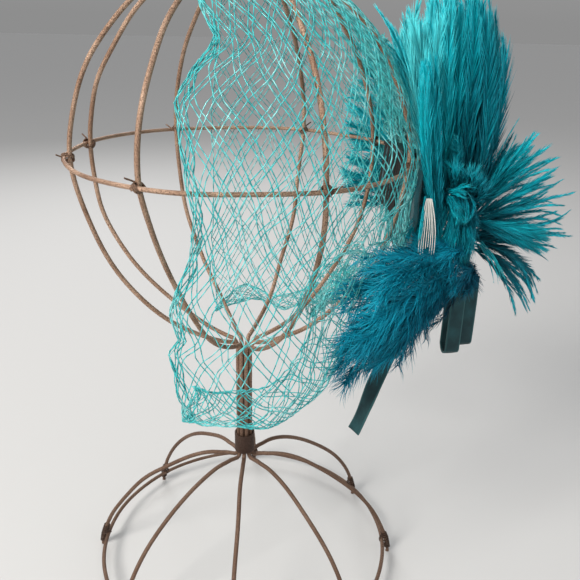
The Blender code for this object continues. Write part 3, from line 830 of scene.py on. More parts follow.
@dataclass
class WireStand:
    """The open wire head on its neck, with the domed foot it stands on."""

    rib_wire: float = 0.0013
    ring_wire: float = 0.0011
    base_ring_wire: float = 0.00125
    tie_wire: float = 0.00042
    head_rise: float = 0.0976
    head_drop: float = 0.1130
    upper_power: float = 1.88
    lower_power: float = 1.90
    lower_roundness: float = 1.59
    crown_end_radius: float = 0.0065
    neck_radius: float = 0.00385
    neck_end_z: float = 0.0890
    foot_radius: float = 0.0990
    leg_rise: float = 0.0820
    leg_roundness: float = 1.25
    leg_tops: Pairs = ((0.00385, 0.0870), (0.00385, 0.0812), (0.0045, 0.0793), (0.0062, 0.0782))
    base_ring_z: float = 0.0100
    wander: float = 0.0005
    lashing_turns: float = 3.2
    winding_turns: int = 9
    ribs: tuple[Rib, ...] = (
        Rib(-118.8, 0.0016, -0.0070),
        Rib(-65.8, 0.0012, 0.0020),
        Rib(-19.7, 0.0008, 0.0000),
        Rib(28.3, -0.0020, 0.0030),
        Rib(64.4, 0.0010, -0.0020),
        Rib(119.2, 0.0000, 0.0030),
        Rib(164.9, -0.0006, 0.0042),
        Rib(191.4, 0.0000, 0.0000),
    )

    def rib_radius(self, z: Any, rib: Rib = Rib()) -> np.ndarray:
        """Radius of a rib's centre line.

        Args:
            z: Heights.
            rib: The rib.

        Returns:
            The radius at each height.
        """
        z = np.asarray(z, float)
        up = np.clip((z - EQUATOR_Z) / self.head_rise, 0.0, 1.0)
        down = np.clip((EQUATOR_Z - z) / self.head_drop, 0.0, 1.0)
        upper = RIB_RADIUS * (1 - up**self.upper_power) ** (1 / self.upper_power)
        upper = upper + rib.upper_bulge * np.sin(math.pi * up)
        lower = (RIB_RADIUS - self.neck_radius) * (1 - down**self.lower_power) ** (1 / self.lower_roundness)
        lower = self.neck_radius + lower + rib.lower_bulge * np.sin(math.pi * down)
        return np.where(z >= EQUATOR_Z, upper, lower)

    def climb(self, radius: float) -> float:
        """How far up the arc of a rib, as an angle, it is that near the axis."""
        return math.asin((1 - (radius / RIB_RADIUS) ** self.upper_power) ** (1 / self.upper_power))

    def rib_line(self, index: int, rib: Rib) -> np.ndarray:
        """The centre line of a rib.

        Args:
            index: The rib's number.
            rib: The rib.

        Returns:
            Its points, from the crown down into the collar.
        """
        even = -115.0 + 45.0 * index
        upper = EQUATOR_Z + self.head_rise * np.sin(np.linspace(self.climb(self.crown_end_radius), 0.0, 40))
        lower = EQUATOR_Z - self.head_drop * np.sin(np.linspace(0.0, math.radians(86), 44))[1:]
        z = np.concatenate([upper, lower])
        radius = self.rib_radius(z, rib)
        azimuth = even + smooth_step(0.0, 1.0, radius / RIB_RADIUS) * (rib.azimuth - even)
        neck = polar(self.neck_radius, even, np.linspace(EQUATOR_Z - self.head_drop - 0.004, self.neck_end_z, 14))
        points = np.concatenate([polar(radius, azimuth, z), neck])
        free = smooth_step(0.010, 0.030, np.linalg.norm(points[:, :2], axis=1))
        shake(points, 0.045, 31 + 7 * index, self.wander * free)
        return points

    def leg_azimuth(self, index: int, radius: Any) -> Any:
        """Azimuth of a leg where it is that far out; the one to the back right was bent aside."""
        return -138.8 + 45.0 * index + (-8.2 if index == 4 else 0.0) * smooth_step(0.01, 0.08, radius)

    def leg_line(self, index: int) -> np.ndarray:
        """The centre line of a leg.

        Args:
            index: The leg's number.

        Returns:
            Its points, from inside the collar to its foot.
        """
        turns = np.radians(np.linspace(7, 86, 44))
        arch_radius = self.foot_radius * np.sin(turns)
        arch_z = self.leg_rise * np.cos(turns) ** self.leg_roundness
        dip = 0.0022 * np.exp(-(((arch_radius - 0.012) / 0.008) ** 2))
        top_radius, top_z = zip(*self.leg_tops)
        radius = np.concatenate([top_radius, arch_radius, [self.foot_radius, self.foot_radius]])
        z = np.concatenate([top_z, arch_z - dip, [0.0030, 0.0]])
        points = polar(radius, self.leg_azimuth(index, radius), z)
        free = smooth_step(0.015, 0.040, radius) * smooth_step(0.012, 0.03, z)
        shake(points, 0.050, 97 + 5 * index, self.wander * free)
        return points

    def leg_radius(self, z: Any) -> Any:
        """Radius of a leg's arch at a height."""
        return self.foot_radius * np.sqrt(1 - (z / self.leg_rise) ** (2 / self.leg_roundness))

    def ring_line(self, radius: float, z: float, seed: int) -> np.ndarray:
        """A level ring with the small waves of hand-bent wire.

        Args:
            radius: The ring's radius.
            z: Its height.
            seed: Which waves it has.

        Returns:
            Its points.
        """
        turn = np.linspace(0.0, 360.0, 160, endpoint=False)
        circle = polar(1.0, turn, 0.0)
        height = z + 0.0004 * ripple(circle, 0.9, seed)
        return polar(radius + 0.0003 * ripple(circle, 0.7, seed + 1), turn, height)

    def lashing(self, index: int, rib: Rib) -> np.ndarray:
        """Thin wire wound round a rib and the ring where they cross.

        Args:
            index: The rib's number.
            rib: The rib.

        Returns:
            The wire's centre line.
        """
        slant = math.radians(45 if index % 2 else -45)
        inner, outer = RIB_RADIUS - self.rib_wire, RING_RADIUS + self.ring_wire
        turn = np.linspace(0.0, 2 * math.pi * self.lashing_turns, 76)
        outward, tangent = polar(1.0, rib.azimuth, 0.0), polar(1.0, rib.azimuth + 90.0, 0.0)
        up = np.array([0.0, 0.0, 1.0])
        across = tangent * math.sin(slant) + up * math.cos(slant)
        shift = tangent * math.cos(slant) - up * math.sin(slant)
        depth = np.sign(np.cos(turn)) * np.abs(np.cos(turn)) ** 0.7 * ((outer - inner) / 2 + self.tie_wire)
        width = np.sign(np.sin(turn)) * np.abs(np.sin(turn)) ** 0.7 * (self.rib_wire * 1.45 + self.tie_wire)
        along = (turn / turn[-1] - 0.5) * 0.0030
        centre = polar((inner + outer) / 2, rib.azimuth, EQUATOR_Z)
        line = centre + np.outer(depth, outward) + np.outer(width, across) + np.outer(along, shift)
        tail = line[-1] + np.outer(np.linspace(0.0008, 0.0050, 5), outward * 0.8 + across * 0.6)
        return np.concatenate([line, tail])

    def foot_winding(self, index: int) -> np.ndarray:
        """Wire wound up a leg's foot, above and below the base ring, with a cross lashing between.

        Args:
            index: The leg's number.

        Returns:
            The wire's centre line.
        """
        azimuth = float(self.leg_azimuth(index, self.foot_radius))
        reach = self.rib_wire + self.tie_wire + 0.0001
        turn = np.linspace(0.0, 2 * math.pi * self.winding_turns, 190)
        z = 0.0035 + 0.0130 * (turn / turn[-1])
        ring_share = np.exp(-(((z - self.base_ring_z) / 0.0022) ** 2))
        inward = 1 + ring_share * (2 * self.base_ring_wire / reach)
        depth = np.cos(turn) * reach * np.where(np.cos(turn) < 0, inward, 1.0)
        width = np.sin(turn) * reach * (1 + 0.6 * ring_share)
        leg = polar(self.leg_radius(z), azimuth, z + 0.0018 * ring_share * np.sin(turn))
        return leg + np.outer(depth, polar(1.0, azimuth, 0.0)) + np.outer(width, polar(1.0, azimuth + 90.0, 0.0))

    def build(self) -> None:
        """Make the wires, the rings and the windings, and repaint the small parts."""
        wire = RustedWire("stand_wire").make()
        thin = RustedWire("tie_wire", (0.030, 0.016, 0.012), (0.14, 0.070, 0.042), (0.30, 0.19, 0.13)).make()
        base_radius = float(self.leg_radius(self.base_ring_z)) - self.rib_wire - self.base_ring_wire - 0.0003
        eight = range(len(self.ribs))
        ribs, ties = (Guide(map(line, eight, self.ribs)) for line in (self.rib_line, self.lashing))
        legs, windings = (Guide(map(line, eight)) for line in (self.leg_line, self.foot_winding))
        equator = Guide([self.ring_line(RING_RADIUS, EQUATOR_Z, 11)], closed=True)
        base = Guide([self.ring_line(base_radius, self.base_ring_z, 12)], closed=True)
        for name, nodes, guide, radius in (
            ("head_wires", numbered("head_rib"), ribs, self.rib_wire),
            ("leg_wires", numbered("leg"), legs, self.rib_wire),
            ("equator_wire", ["equator_ring"], equator, self.ring_wire),
            ("base_wire", ["base_ring"], base, self.base_ring_wire),
        ):
            grown(name, nodes, "stand_wire", guide, "wire", Radius=radius, Sides=10, Material=wire)
        for name, nodes, guide in (
            ("head_lashings", numbered("head_tie"), ties),
            ("foot_windings", numbered("foot_tie"), windings),
        ):
            grown(name, nodes, "tie_wire", guide, "wire", Radius=self.tie_wire, Sides=6, Material=thin)
        repaint(["crown_knot", "collar"], thin)


@dataclass
class FeltBase:
    """The curved oval that the feathers are sewn to."""

    inner: float = 0.0954
    thick: float = 0.0020
    half_turn: float = 27.0
    half_height: float = 0.0480
    middle_z: float = 0.2520
    rows: int = 41

    def build(self) -> None:
        """Make the felt and its steel comb."""
        across, up = np.meshgrid(np.linspace(-1, 1, self.rows), np.linspace(-1, 1, self.rows))
        side = across * np.sqrt(1 - up * up / 2)
        rise = up * np.sqrt(1 - across * across / 2)
        taper = 1 - 0.22 * smooth_step(0.2, -1.0, rise)
        lean = 0.0025 * smooth_step(0.0, -1.0, rise) + 0.0010 * smooth_step(0.5, 1.0, rise)
        places = np.stack([across.ravel(), up.ravel()], axis=1)
        uneven = 0.0003 * ripple(places, 0.6, 5).reshape(across.shape)
        turn, z = side * taper * self.half_turn, self.middle_z + rise * self.half_height
        grid = polar(self.inner - lean + uneven, turn, z)
        piece = placed("felt_base", ["base_plate"], "felt", sheet_mesh("felt_base", grid))
        walled(piece, Felt("felt").make(), self.thick, 1.0)
        repaint(["comb"], DarkSteel("comb_steel").make())


@dataclass(frozen=True)
class Pinch:
    """A place where the net is gathered: azimuth and height, how strongly, how far round, and degrees turned."""

    azimuth: float
    z: float
    strength: float
    spread: float
    turn: float = 0.0


@dataclass
class NetVeil:
    """The veil: pairs of fine threads crossing in diamonds, from the far edge round to the near one."""

    stand: WireStand
    cells_round: float = 30.6
    cells_high: float = 12.5
    hang_cells: float = 6.4
    folded_round: float = 1.0
    folded_high: float = 3.6
    squeezed: float = 0.8
    pair_gap: float = 0.26
    thread: float = 0.00027
    knot: float = 0.00042
    far_edge: float = 105.0
    even_edge: float = -107.0
    top_radius: float = 0.0340
    cell_width: float = 0.0115
    cell_height: float = 0.0210
    rib_clear: float = 0.0026
    ring_clear: float = 0.0029
    felt_radius: float = 0.0944
    hang_radius: float = 0.0830
    metres_per_degree: float = math.radians(1) * 0.092
    sag: float = 0.0030
    felt_sag: float = 0.0038
    hang_spread: float = 0.0080
    wave_height: float = 0.0012
    tuck_depth: float = 0.0040
    fold_in: float = 0.0145
    shortest_thread: float = 0.3
    border_girth: float = 1.35
    pleat_pull: float = 0.86
    pleat_reach: float = 0.0125
    near_edge: Pairs = (
        *((0.165, -109.3), (0.178, -110.2), (0.196, -112.5), (0.205, -108.6), (0.218, -110.6), (0.2245, -109.7)),
        *((0.240, -105.3), (0.263, -102.1), (0.2855, -104.5), (0.299, -107.0), (0.309, -108.6), (0.321, -105.6)),
        *((0.329, -100.9), (0.334, -99.1), (0.341, -103.0), (0.348, -109.0), (0.366, -112.0)),
    )
    hem: Pairs = (
        *((-113.0, 0.1655), (-106.0, 0.1590), (-99.0, 0.1570), (-90.0, 0.1568), (-79.0, 0.1563), (-69.0, 0.1590)),
        *((-60.0, 0.1650), (-52.0, 0.1725), (-45.0, 0.1810), (-20.0, 0.1930), (0.0, 0.2000), (22.0, 0.1890)),
        *((42.0, 0.1660), (58.0, 0.1530), (74.0, 0.1450), (90.0, 0.1510), (105.0, 0.1430)),
    )
    fold_depth: Pairs = ((-115.0, 0.0110), (-80.0, 0.0125), (-45.0, 0.0280), (-10.0, 0.0160), (105.0, 0.0150))
    pinches: tuple[Pinch, ...] = (
        Pinch(12.0, 0.308, 0.32, 0.065),
        Pinch(-30.0, 0.256, 0.35, 0.020),
        Pinch(48.0, 0.160, 0.40, 0.030),
        Pinch(-80.0, 0.278, 0.0, 0.040, 14.0),
    )
    long_pleat: Pairs = (
        *((-14.0, 0.262), (-31.0, 0.257), (-48.4, 0.248), (-62.0, 0.2465), (-68.2, 0.2356)),
        *((-72.5, 0.2191), (-78.7, 0.2107), (-89.7, 0.2027), (-97.0, 0.1930)),
    )
    short_pleat: Pairs = ((-14.0, 0.242), (-32.0, 0.242), (-48.0, 0.242), (-62.0, 0.2440))

    def gathered(self, azimuth: np.ndarray, z: np.ndarray) -> tuple[np.ndarray, np.ndarray]:
        """Draw the net in towards its gathers and its pleats.

        Args:
            azimuth: Azimuths of the smooth net, in degrees.
            z: Its heights.

        Returns:
            The gathered azimuths and heights.
        """
        scale = self.metres_per_degree
        flat = np.stack([azimuth * scale, z], axis=1)
        for pinch in self.pinches:
            centre = np.array([pinch.azimuth * scale, pinch.z])
            away = flat - centre
            near = np.exp(-((away**2).sum(1)) / (2 * pinch.spread**2))
            angle = np.radians(pinch.turn) * near
            level = away[:, 0] * np.cos(angle) + away[:, 1] * np.sin(angle)
            upright = away[:, 1] * np.cos(angle) - away[:, 0] * np.sin(angle)
            flat = centre + np.stack([level, upright], axis=1) * (1 - pinch.strength * near)[:, None]
        best = np.full(len(flat), np.inf)
        toward = np.zeros_like(flat)
        for pleat in (self.long_pleat, self.short_pleat):
            line = np.array([(a * scale, h) for a, h in pleat])
            for start, end in zip(line[:-1], line[1:]):
                span = end - start
                share = np.clip(((flat - start) @ span) / (span @ span), 0.0, 1.0)
                gap = start + share[:, None] * span - flat
                distance = np.linalg.norm(gap, axis=1)
                toward = np.where((distance < best)[:, None], gap, toward)
                best = np.minimum(distance, best)
        flat = flat + toward * (self.pleat_pull * np.exp(-((best / self.pleat_reach) ** 2)))[:, None]
        return flat[:, 0] / scale, flat[:, 1]

    def radius(self, azimuth: np.ndarray, z: np.ndarray, hem_z: np.ndarray) -> np.ndarray:
        """Radius of the net over the ribs and the ring, under the felt, and where it hangs below them.

        Args:
            azimuth: Azimuths, in degrees.
            z: Heights.
            hem_z: Height of the hem below each place.

        Returns:
            The radius at each place.
        """
        above = self.stand.rib_radius(np.maximum(z, EQUATOR_Z)) + self.rib_clear
        from_ring = np.abs(z - EQUATOR_Z)
        crossings = np.sort([rib.azimuth if rib.azimuth <= 180 else rib.azimuth - 360 for rib in self.stand.ribs])
        place = np.interp(azimuth, crossings, np.arange(len(crossings), dtype=float))
        under_felt = smooth_step(-24.0, -10.0, azimuth) * (1 - smooth_step(20.0, 30.0, azimuth))
        depth = self.sag + self.felt_sag * under_felt
        upper = above - depth * np.sin(math.pi * place) ** 2 * smooth_step(0.006, 0.030, from_ring)
        near_ring = 1 - smooth_step(0.004, 0.022, from_ring)
        upper = np.maximum(upper, upper + near_ring * (RING_RADIUS + self.ring_clear - upper))
        felt = (1 - smooth_step(29.0, 39.0, np.abs(azimuth))) * (1 - smooth_step(0.048, 0.066, np.abs(z - 0.252)))
        upper = np.where(azimuth > -33.0, np.minimum(upper, self.felt_radius), upper)
        hang = smooth_step(EQUATOR_Z, EQUATOR_Z - 0.095, z)
        waves = self.wave_height * np.sin(np.radians(azimuth) * 13.0 + 9.0 * z / 0.1)
        low = self.hang_radius + self.hang_spread * smooth_step(58.0, 84.0, np.abs(azimuth)) + waves
        tuck = self.tuck_depth * smooth_step(0.020, 0.0, z - hem_z)
        return upper + hang * (1 - felt) * (low - upper) - tuck

    def place(self, around: np.ndarray, high: np.ndarray) -> np.ndarray:
        """Places on the hanging net.

        Args:
            around: Cells from the far edge; past the last cell the net is folded back inside.
            high: Cells from the hem; below 0 the net is turned up inside.

        Returns:
            One row per place, from the stand's axis.
        """
        past_edge = np.maximum(around - self.cells_round, 0.0)
        from_edge = self.drawn_up(np.maximum(self.cells_round - around, 0.0) + 0.8 * past_edge)
        u = 1 - from_edge / self.drawn_up(self.cells_round)
        v = self.drawn_up(np.maximum(high, 0.0))
        hem_z = np.interp(self.far_edge - 2 * self.far_edge * u, *zip(*self.hem))
        top, ring = self.drawn_up(self.cells_high), self.drawn_up(self.hang_cells)
        climb = self.stand.climb(self.top_radius) * np.clip((v - ring) / (top - ring), 0.0, 1.0)
        z_up = EQUATOR_Z + self.stand.head_rise * np.sin(climb)
        z_down = hem_z + (EQUATOR_Z - hem_z) * np.clip(v / ring, 0.0, 1.0)
        z = np.where(v > ring, z_up, z_down)
        edge = np.interp(z, *zip(*self.near_edge))
        azimuth = self.far_edge + (self.even_edge - self.far_edge) * u
        azimuth = azimuth + (edge - self.even_edge) * smooth_step(0.84, 1.0, u)
        free = 1 - smooth_step(0.88, 1.0, u)
        drawn_azimuth, drawn_z = self.gathered(azimuth, z)
        azimuth, z = azimuth + (drawn_azimuth - azimuth) * free, z + (drawn_z - z) * free
        cloth = np.stack([around * self.cell_width, high * self.cell_height], axis=1)
        free = 0.25 + 0.75 * free
        azimuth = azimuth + free * (0.60 * ripple(cloth, 0.060, 41) + 0.12 * ripple(cloth, 0.019, 42))
        z = z + free * (0.0008 * ripple(cloth, 0.055, 43) + 0.00012 * ripple(cloth, 0.018, 44))
        radius = self.radius(azimuth, z, hem_z) + 0.0006 * ripple(cloth, 0.035, 45)
        places = polar(radius - 0.0016 * np.minimum(past_edge, 1.0), azimuth, z)
        return places + self.rolled(places, cloth, np.maximum(-high, 0.0), azimuth)

    def drawn_up(self, high: Any) -> Any:
        """Height on the hanging net, in cells, of a row that is that many cells up, drawn close near the hem."""
        return high - self.squeezed * (1 - np.exp(-np.asarray(high) / self.squeezed * 0.8))

    def rolled(self, places: np.ndarray, cloth: np.ndarray, past_hem: np.ndarray, azimuth: np.ndarray) -> np.ndarray:
        """How far the turned-up hem moves in, up and out of line.

        Args:
            places: Places at the fold, from the stand's axis.
            cloth: The same places on the flat net.
            past_hem: Cells past the fold.
            azimuth: Azimuths, in degrees.

        Returns:
            The shift of each place.
        """
        share = np.clip(past_hem / self.folded_high, 0.0, 1.0)
        shift = unit(places * np.array([1.0, 1.0, 0.0])) * (-self.fold_in * smooth_step(0.0, 1.0, share))[:, None]
        shift[:, 2] += np.interp(azimuth, *zip(*self.fold_depth)) * smooth_step(0.15, 1.0, share)
        shake(shift, 0.042, 51, np.outer((0.0014, 0.0014, 0.0012), np.minimum(past_hem, 1.0)), cloth)
        return shift

    def strands(self) -> Guide:
        """The threads of the net: two families of close pairs that slant both ways, knotted where they cross.

        Returns:
            The threads and the doubled borders.
        """
        guide = Guide()
        width, low, high = self.cells_round + self.folded_round, -self.folded_high, self.cells_high
        cells = np.arange(-80, 120)
        keys = np.sort(np.concatenate([cells - self.pair_gap / 2, cells + self.pair_gap / 2]))
        for family, slope in enumerate((-1.0, 1.0)):
            for key in keys:
                edges = (key / slope, (key - width) / slope)
                start, end = max(low, min(edges)), min(high, max(edges))
                if end - start < self.shortest_thread:
                    continue
                meets = (keys - key) / (-2 * slope)
                meets = np.sort(meets[(meets > start + 0.02) & (meets < end - 0.02)])
                ticks = np.concatenate([[start], meets, [end]])
                between = (ticks[:-1] + ticks[1:]) / 2
                ticks = np.sort(np.concatenate([ticks, between[np.diff(ticks) > 0.2]]))
                points = self.place(key - slope * ticks, ticks)
                run = ticks[:, None] * self.cell_height
                shake(points, 0.0140, int(1000 + 10 * key) + 4000 * family, 0.00014, run)
                guide.add(points, knot=np.isin(ticks, meets) & (family == 0))
        edge, rim = np.linspace(low, high, 110), np.linspace(0.0, width, 240)
        borders = (
            (np.full_like(edge, width), edge),
            (np.zeros_like(edge), edge),
            (rim, np.full_like(rim, low)),
            (rim, np.full_like(rim, high)),
        )
        for index, border in enumerate(borders):
            points = self.place(*border)
            shake(points, 0.012, 71 + 2 * index, 0.0004, np.arange(len(points))[:, None] * 0.0025)
            guide.add(points, girth=self.border_girth)
        return guide

    def build(self) -> None:
        """Make the veil and its two gathered ends."""
        thread = NetThread("net_thread").make()
        sizes = {"Radius": self.thread, "Sides": 4, "Knot_Radius": self.knot, "Material": thread}
        veil = grown("net_veil", ["veil"], "net", self.strands(), "wire", **sizes)
        wide = self.cell_width * (self.cells_round + self.folded_round)
        long = self.cell_height * (self.cells_high + self.folded_high)
        declare_net(veil, (wide, long))
        for name, node, *place, seed in (
            ("upper_bunch", "upper_gather", (0.0815, 0.0190, 0.3030), (-0.225, -0.056, 0.973), (0.96, 0.22, 0.2), 3),
            ("lower_bunch", "lower_gather", (0.0600, 0.0660, 0.1640), (-0.40, 0.45, -0.80), (0.70, 0.70, 0.0), 9),
        ):
            bunch = Crumple(*place, seed)
            piece = grown(name, [node], "net", bunch.strands(self.pair_gap), "wire", **sizes)
            flat = (bunch.cells * self.cell_width, bunch.cells * self.cell_height)
            declare_net(piece, flat)


@dataclass(frozen=True)
class Crumple:
    """A gathered end of the net, folded up on itself into a flat bunch."""

    centre: Point
    spine: Point
    outward: Point
    seed: int
    length: float = 0.058
    width: float = 0.026
    depth: float = 0.0045
    cells: int = 6

    def place(self, around: np.ndarray, high: np.ndarray) -> np.ndarray:
        """Places on the crumpled net.

        Args:
            around: Cells across the bunch.
            high: Cells along it.

        Returns:
            One row per place, from the stand's axis.
        """
        spine = unit(np.array(self.spine))
        out = np.array(self.outward)
        out = unit(out - spine * (out @ spine))
        u, v = around / self.cells, high / self.cells
        cloth = np.stack([u, v], axis=1)
        swell = np.sqrt(np.clip(1 - (2 * v - 1) ** 2, 0.05, 1))
        wave = u * 3.1 + 0.30 * ripple(cloth, 0.5, self.seed)
        fold = 2 * np.abs(2 * (wave - np.floor(wave + 0.5))) - 1
        across = (0.55 * fold + 0.45 * (2 * u - 1)) * swell + 0.22 * ripple(cloth, 0.22, self.seed + 1)
        along = (v - 0.5) + 0.06 * ripple(cloth, 0.25, self.seed + 2) + 0.05 * np.sin(wave * 6.0)
        thick = 0.55 * ripple(cloth, 0.30, self.seed + 3) + 0.45 * np.cos(2 * math.pi * wave)
        places = np.array(self.centre) + np.outer(across * self.width / 2, np.cross(spine, out))
        return places + np.outer(along * self.length, spine) + np.outer(thick * self.depth, out)

    def strands(self, pair_gap: float) -> Guide:
        """The bunch's threads, in pairs that slant both ways.

        Args:
            pair_gap: Distance between the threads of a pair, in cells.

        Returns:
            The threads.
        """
        guide = Guide()
        high = np.linspace(0.0, self.cells, 60)
        for slope in (1, -1):
            for cell in range(-self.cells, 2 * self.cells + 1):
                for side in (-0.5, 0.5):
                    around = cell + side * pair_gap + slope * high
                    inside = (around >= 0) & (around <= self.cells)
                    if inside.sum() > 4:
                        guide.add(self.place(around[inside], high[inside]))
        return guide


class Vane(Enum):
    """How wide a feather is from root to tip, as pairs of share along it and share of its reach."""

    HACKLE = ((0.0, 0.20), (0.12, 0.55), (0.45, 0.95), (0.70, 1.0), (0.90, 0.62), (1.0, 0.34))
    SPIKE = ((0.0, 0.35), (0.15, 0.85), (0.40, 1.0), (0.70, 0.62), (1.0, 0.30))
    ROUND = ((0.0, 0.40), (0.2, 0.9), (0.6, 1.0), (0.9, 0.8), (1.0, 0.6))
    DOWNY = ((0.0, 0.22), (0.2, 0.75), (0.6, 1.0), (1.0, 0.80))


@dataclass(frozen=True)
class FeatherSize:
    """Sizes of the feathers in one clump, with the angles in degrees."""

    spacing: float
    reach: float
    barb_width: float
    sweep: float
    scatter: float
    lift: float
    curl: float
    ruffle: float
    ruffle_scale: float
    segments: int
    vane: Vane
    shaft_radius: float = 0.00018
    flatness: float = 0.35


@dataclass(frozen=True)
class FeatherPath:
    """One feather's shaft: where it starts, passes and ends, which way it faces, and its size and painted light and
    shade.
    """

    root: Any
    middle: Any
    tip: Any
    face: Any
    reach: float
    shade: float

    def blend(self, other: "FeatherPath", share: float) -> "FeatherPath":
        """A feather between this one and another.

        Args:
            other: The other feather.
            share: How far towards it, 0 to 1.

        Returns:
            The feather between.
        """
        mixed = []
        for field in fields(self):
            first, second = (np.array(getattr(path, field.name), float) for path in (self, other))
            mixed.append(first + (second - first) * share)
        return FeatherPath(*mixed)


def shafts(face: Point, *rows: Sequence[float]) -> tuple[FeatherPath, ...]:
    """Key feathers from rows of numbers.

    Args:
        face: Which way they face.
        rows: Root, middle and tip in millimetres, reach, painted light and shade, and the way it faces where that is
            another.

    Returns:
        The feathers.
    """
    made = []
    for row in rows:
        places = (tuple(value / 1000 for value in row[first : first + 3]) for first in (0, 3, 6))
        made.append(FeatherPath(*places, tuple(row[11:]) or face, row[9], row[10]))
    return tuple(made)


class FeatherClump:
    """A clump of feathers that grows from guides along their shafts."""

    taper = 0.82
    root_stray = 0.35
    middle_stray = 0.6
    most_shorter = 0.12

    def __init__(self, name: str, node: str, size: FeatherSize, seed: int) -> None:
        """Start a clump.

        Args:
            name: The piece's name.
            node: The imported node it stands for.
            size: Sizes of its feathers.
            seed: Seed of its feathers and their barbs.
        """
        self.name, self.node, self.size, self.seed = name, node, size, seed
        self.rng = np.random.default_rng(seed)
        self.guide = Guide()

    def add(self, path: FeatherPath) -> None:
        """Add a feather.

        Args:
            path: Its shaft.
        """
        control = 2 * path.middle - (path.root + path.tip) / 2
        rough = np.linspace(0, 1, 60)[:, None]
        curve = (1 - rough) ** 2 * path.root + 2 * rough * (1 - rough) * control + rough**2 * path.tip
        run = run_along(curve)
        count = max(int(run[-1] / self.size.spacing), 8)
        ticks = np.linspace(0, run[-1], count)
        points = np.stack([np.interp(ticks, run, curve[:, axis]) for axis in range(3)], axis=1)
        along = unit(np.gradient(points, axis=0))
        face = unit(path.face - along * (along @ path.face)[:, None])
        tip = ticks / run[-1]
        reach = np.interp(tip, *zip(*self.size.vane.value)) * self.size.reach * path.reach
        girth = 1.0 - self.taper * tip
        self.guide.add(points, along=along, face=face, reach=reach, tip=tip, shade=path.shade, girth=girth)

    def fan(
        self, keys: Sequence[FeatherPath], count: int, loose: float, turn: float = 75.0, deep: float = 0.0
    ) -> None:
        """Spread feathers between a few key ones, each a little out of line.

        Args:
            keys: The key feathers, in order.
            count: How many feathers there are.
            loose: How far their tips stray.
            turn: How far they turn about their shafts, in degrees.
            deep: How far their tips stray towards the viewer or away.
        """
        for index in range(count):
            place = (index + 0.5) / count * (len(keys) - 1)
            lower = min(int(place), len(keys) - 2)
            path = keys[lower].blend(keys[lower + 1], place - lower)
            swing = math.radians(self.rng.uniform(-turn, turn))
            x, y, z = path.face
            face = (x * math.cos(swing) - y * math.sin(swing), x * math.sin(swing) + y * math.cos(swing), z)
            stray = self.rng.uniform(-1, 1, (3, 3)) * loose
            if deep:
                stray[:, 1] += self.rng.uniform(-deep, deep)
            root, middle = path.root + stray[0] * self.root_stray, path.middle + stray[1] * self.middle_stray
            tip = path.tip + stray[2]
            tip = tip + (middle - tip) * self.rng.uniform(0.0, self.most_shorter)
            reach = path.reach * self.rng.uniform(0.82, 1.12)
            # Painted light and shade, with a little tone of its own at random.
            shade = path.shade + self.rng.uniform(-0.16, 0.16)
            self.add(FeatherPath(root, middle, tip, np.array(face), reach, shade))

    def build(self, material: Material) -> None:
        """Grow the clump of a material.

        Args:
            material: What its feathers are made of.
        """
        size, rates = self.size, ("barb_width", "flatness", "lift", "curl", "ruffle", "ruffle_scale", "segments")
        sizes = {name.title().replace("Barb_", ""): getattr(size, name) for name in (*rates, "shaft_radius")}
        sizes |= {"Sweep": math.radians(size.sweep), "Scatter": math.radians(size.scatter), "Seed": self.seed}
        grown(self.name, [self.node], "feathers", self.guide, "barb", Material=material, **sizes)


